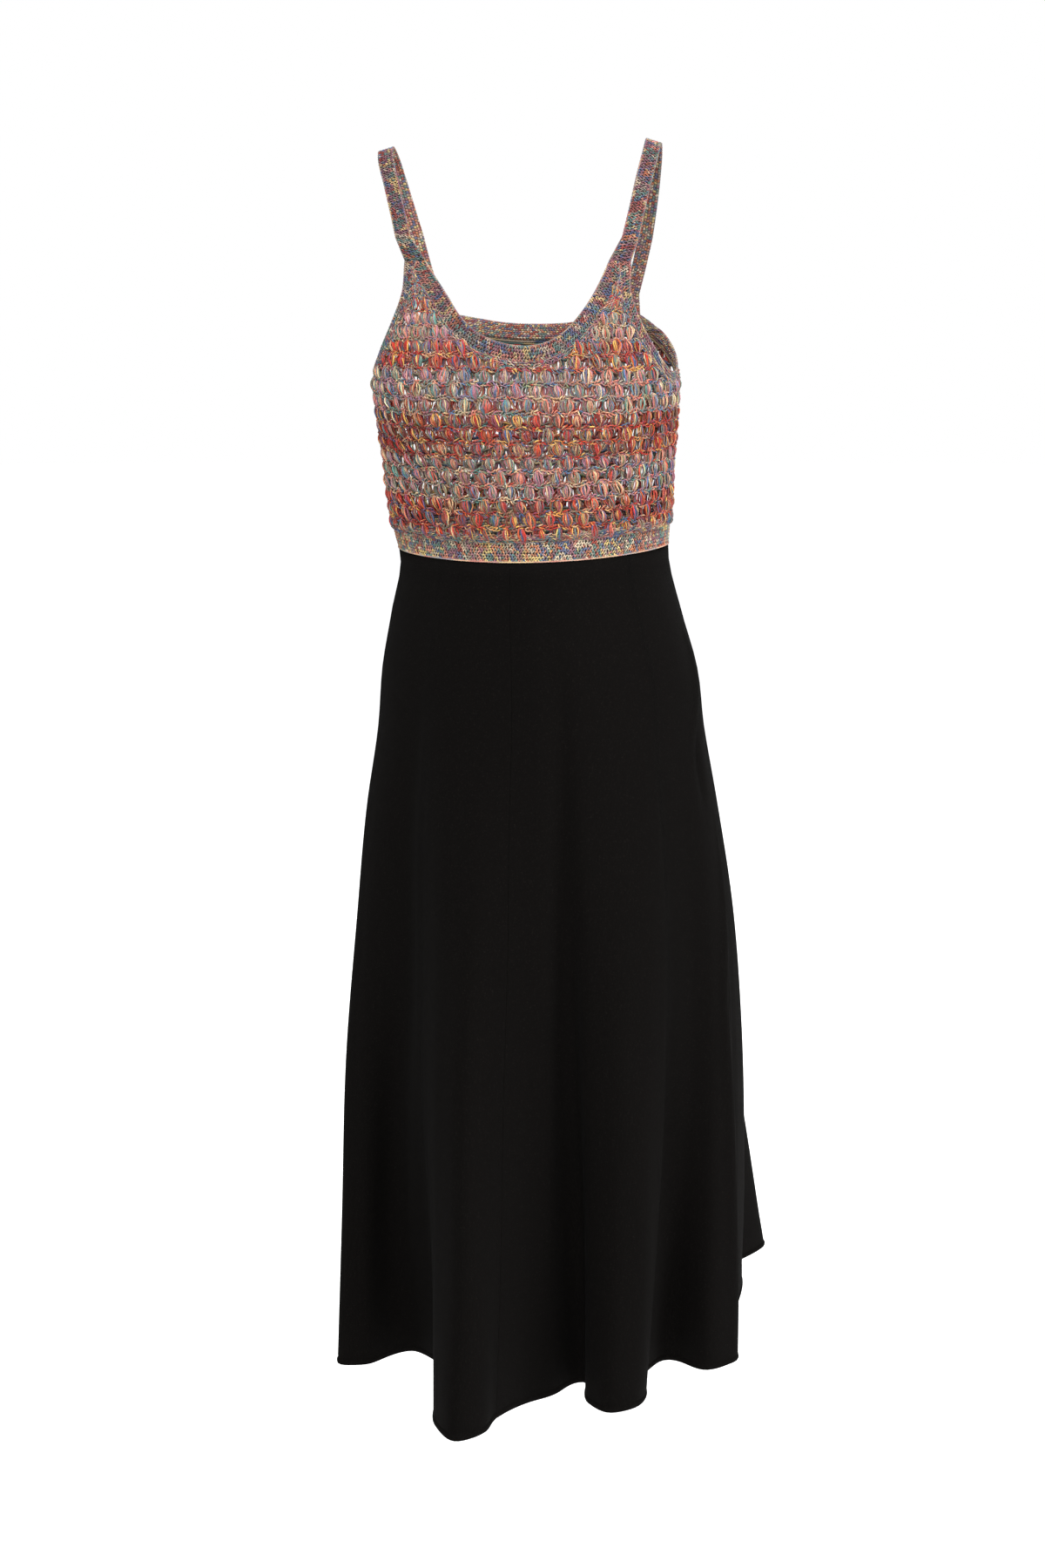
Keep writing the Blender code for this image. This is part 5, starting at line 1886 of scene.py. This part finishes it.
@dataclass(frozen=True)
class Studio:
    """A plain pale floor under soft light, with a white surround."""

    floor_level: float = -1.50
    floor_rings: tuple[float, ...] = (0.01, 0.5, 1.5, 4.0, 14.0)
    floor_points: int = 96
    floor_colour: Colour = (0.90, 0.90, 0.90)
    floor_glow: float = 0.80
    surround: float = 0.25
    lights: tuple[Softbox, ...] = (
        Softbox("front_top", (0.0, -1.89, 2.15), 116.0),
        Softbox("right", (3.18, -0.56, 0.14), 67.0),
        Softbox("right_top", (1.34, -1.34, 2.15), 19.0),
        Softbox("left", (-2.48, -1.43, 1.10), 14.0),
        Softbox("behind", (0.6, 3.2, 1.0), 60.0, (0.0, 0.0, -0.6), (2.4, 2.2)),
    )

    def build(self) -> None:
        """Build the floor, the lights and the world."""
        self.build_floor()
        for light in self.lights:
            light.build()
        self.build_world()

    def build_floor(self) -> None:
        """A flat round floor of rings of points; it glows a little, but only as the eye sees it."""
        turn = TURN * np.arange(self.floor_points) / self.floor_points
        rings = np.array(self.floor_rings)[:, None]
        height = np.full((len(rings), len(turn)), self.floor_level)
        points = stacked(rings * np.cos(turn), rings * np.sin(turn), height).reshape(-1, 3)
        number = np.arange(len(points)).reshape(len(rings), -1)
        beside = np.roll(number, -1, axis=1)
        faces = stacked(number[:-1], number[1:], beside[1:], beside[:-1]).reshape(-1, 4)
        mesh = polygon_mesh("floor", points, [faces, number[:1]])
        material, tree, shader = principled(
            "floor", Roughness=0.9, Base_Color=self.floor_colour, Emission_Strength=self.floor_glow
        )
        seen = shader_node(tree, "LightPath").outputs["Is Camera Ray"]
        feed(tree, shader.inputs["Emission Color"], seen)
        linked_object(mesh, material)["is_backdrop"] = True

    def build_world(self) -> None:
        """A world that looks white and lights softly: two strengths, parted by whether the eye sees it."""
        world = bpy.data.worlds.new("surround")
        world.use_nodes = True
        tree = world.node_tree
        inputs = tree.nodes["Background"].inputs
        seen = shader_node(tree, "LightPath").outputs["Is Camera Ray"]
        feed(tree, inputs["Color"], (1.0, 1.0, 1.0))
        feed(tree, inputs["Strength"], maths(tree, "MULTIPLY_ADD", seen, 1.0 - self.surround, self.surround))
        bpy.context.scene.world = world
        bpy.context.scene.view_settings.view_transform = "Standard"


@dataclass
class Dress:
    """The whole dress: builds every piece, ties it to its CAD node and logs its cloth's flat size and area."""

    form: BodyForm = BodyForm()
    chest_level: float = -0.235
    back_stitch: dict[str, object] = field(default_factory=lambda: {
        "columns": 24, "strands": 6, "stations": 6, "puff_width": 0.0045, "strand": 0.00090,
        "chain_stitch": 0.0036, "legs": (-0.0078, -0.0067, -0.0057, 0.0057, 0.0068), "leg": 0.00080,
        "chain_yarn": 0.00080, "core": 0.00130,
    })

    def __post_init__(self) -> None:
        """Make the cut lines and the finishes that the pieces share."""
        groups = EffectGroups()
        self.cut = CutLines(self.form)
        self.puff_yarn = YarnFinish("puff_yarn").material(groups)
        self.band_yarn = YarnFinish("band_yarn", turns=420.0, blend=0.7, relief=0.00014).material(groups)
        self.band_ground = GroundFinish().material()
        self.skirt_knit = JerseyFinish().material(groups)

    @staticmethod
    def settle(piece: Object, node: str, slot: str) -> Object:
        """Let a piece ride on the dress and stand for its CAD node, whose part it hides.

        Args:
            piece: The piece.
            node: The CAD node that it stands for.
            slot: Not used.

        Returns:
            The same piece.
        """
        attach(piece, list(frame["bodies"])[0])
        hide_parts(node)
        triangles = sum(len(face.vertices) - 2 for face in piece.data.polygons)
        LOG.info("%s: %d triangles for %s", piece.name, triangles, node)
        return piece

    @staticmethod
    def declare(piece: Object, width: float, high: float, area: float, **ties: list) -> None:
        """Log a piece's flat size and area."""
        LOG.info("%s lies flat in %.4f by %.3f m, %.5f square metres", piece.name, width, high, area)

    def build_bodice(self) -> None:
        """The two puff panels, each its puffs and the net and posts that carry them."""
        quarter = TURN / 4
        for name, outline, start, end, seed, stitch in (
            ("bodice_front", self.cut.front_outline(), -quarter, quarter, 11, {}),
            ("bodice_back", self.cut.back_outline(), quarter, 3 * quarter, 23, self.back_stitch),
        ):
            panel = PuffPanel(name, self.form, outline, start, end, seed, **stitch)
            chains, posts = panel.net()
            net, stays, puffs = (
                self.settle(batch.object(f"{name}_{part}", self.puff_yarn), name, "puff_yarn")
                for part, batch in (("net", chains), ("posts", posts), ("puffs", panel.puffs()))
            )
            width, high = panel.row_length(self.chest_level), float(np.ptp(outline[:, 1]))
            x, y = (outline * np.array([width / math.pi, 1.0])).T
            area = 0.5 * abs(float((x * np.roll(y, -1) - y * np.roll(x, -1)).sum()))
            self.declare(net, width, high, area, with_pieces=[stays, puffs])

    def build_bands(self) -> None:
        """The six bands and the two straps, each a ground and its stitches."""
        rows = {"neck": 5, "armhole": 4, "waistband": 7, "strap": 5}
        ribbons = BandCutter(self.cut).ribbons()
        for side, name in SIDES.items():
            ribbons[f"strap_{name}"] = StrapPath().ribbon(self.cut, side)
        neck = Cord(dye=Dye.NECK)
        waist = (Cord(), Cord(wound=0.00015, raised=0.0009, mean_run=11.0, dye=Dye.EDGE))
        for seed, (name, ribbon) in enumerate(sorted(ribbons.items()), start=100):
            dye, cords = (Dye.BAND, waist) if name.startswith("waistband") else (Dye.NECK, (neck, neck))
            strip = CrochetStrip(name, ribbon, rows[name.split("_")[0]], dye, seed, cords)
            ground = self.settle(strip.ground_object(self.band_ground), name, "band_yarn")
            stitches = self.settle(strip.stitches().object(f"{name}_stitches", self.band_yarn), name, "band_yarn")
            width, length = ribbon.width, ribbon.length
            area = min(grid_area(ribbon.inner), width * length)
            self.declare(ground, width, length, area, with_pieces=[stitches])

    def build_skirt(self) -> None:
        """The three skirt panels."""
        skirt = Skirt(self.form)
        for name, start, end in skirt.panels():
            piece = self.settle(skirt.panel(f"{name}_cloth", start, end, self.skirt_knit), name, "skirt_knit")
            rests = "waistband_back_ground" if name == "skirt_back" else "waistband_front_ground"
            self.declare(piece, *skirt.flat_size(start, end), rests_on=[rests])


def corners() -> list[list[float]]:
    """The lowest and highest corner of everything shown, as plain numbers."""
    return [[float(value) for value in corner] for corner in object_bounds()]


def main() -> None:
    """Build the camera, the studio and the dress."""
    logging.basicConfig(level=logging.INFO, format="%(name)s: %(message)s", stream=sys.stdout)
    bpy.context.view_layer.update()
    Viewpoint().place()
    Studio().build()
    dress = Dress()
    dress.build_bodice()
    dress.build_bands()
    dress.build_skirt()
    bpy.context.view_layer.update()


if __name__ == "__main__":
    main()
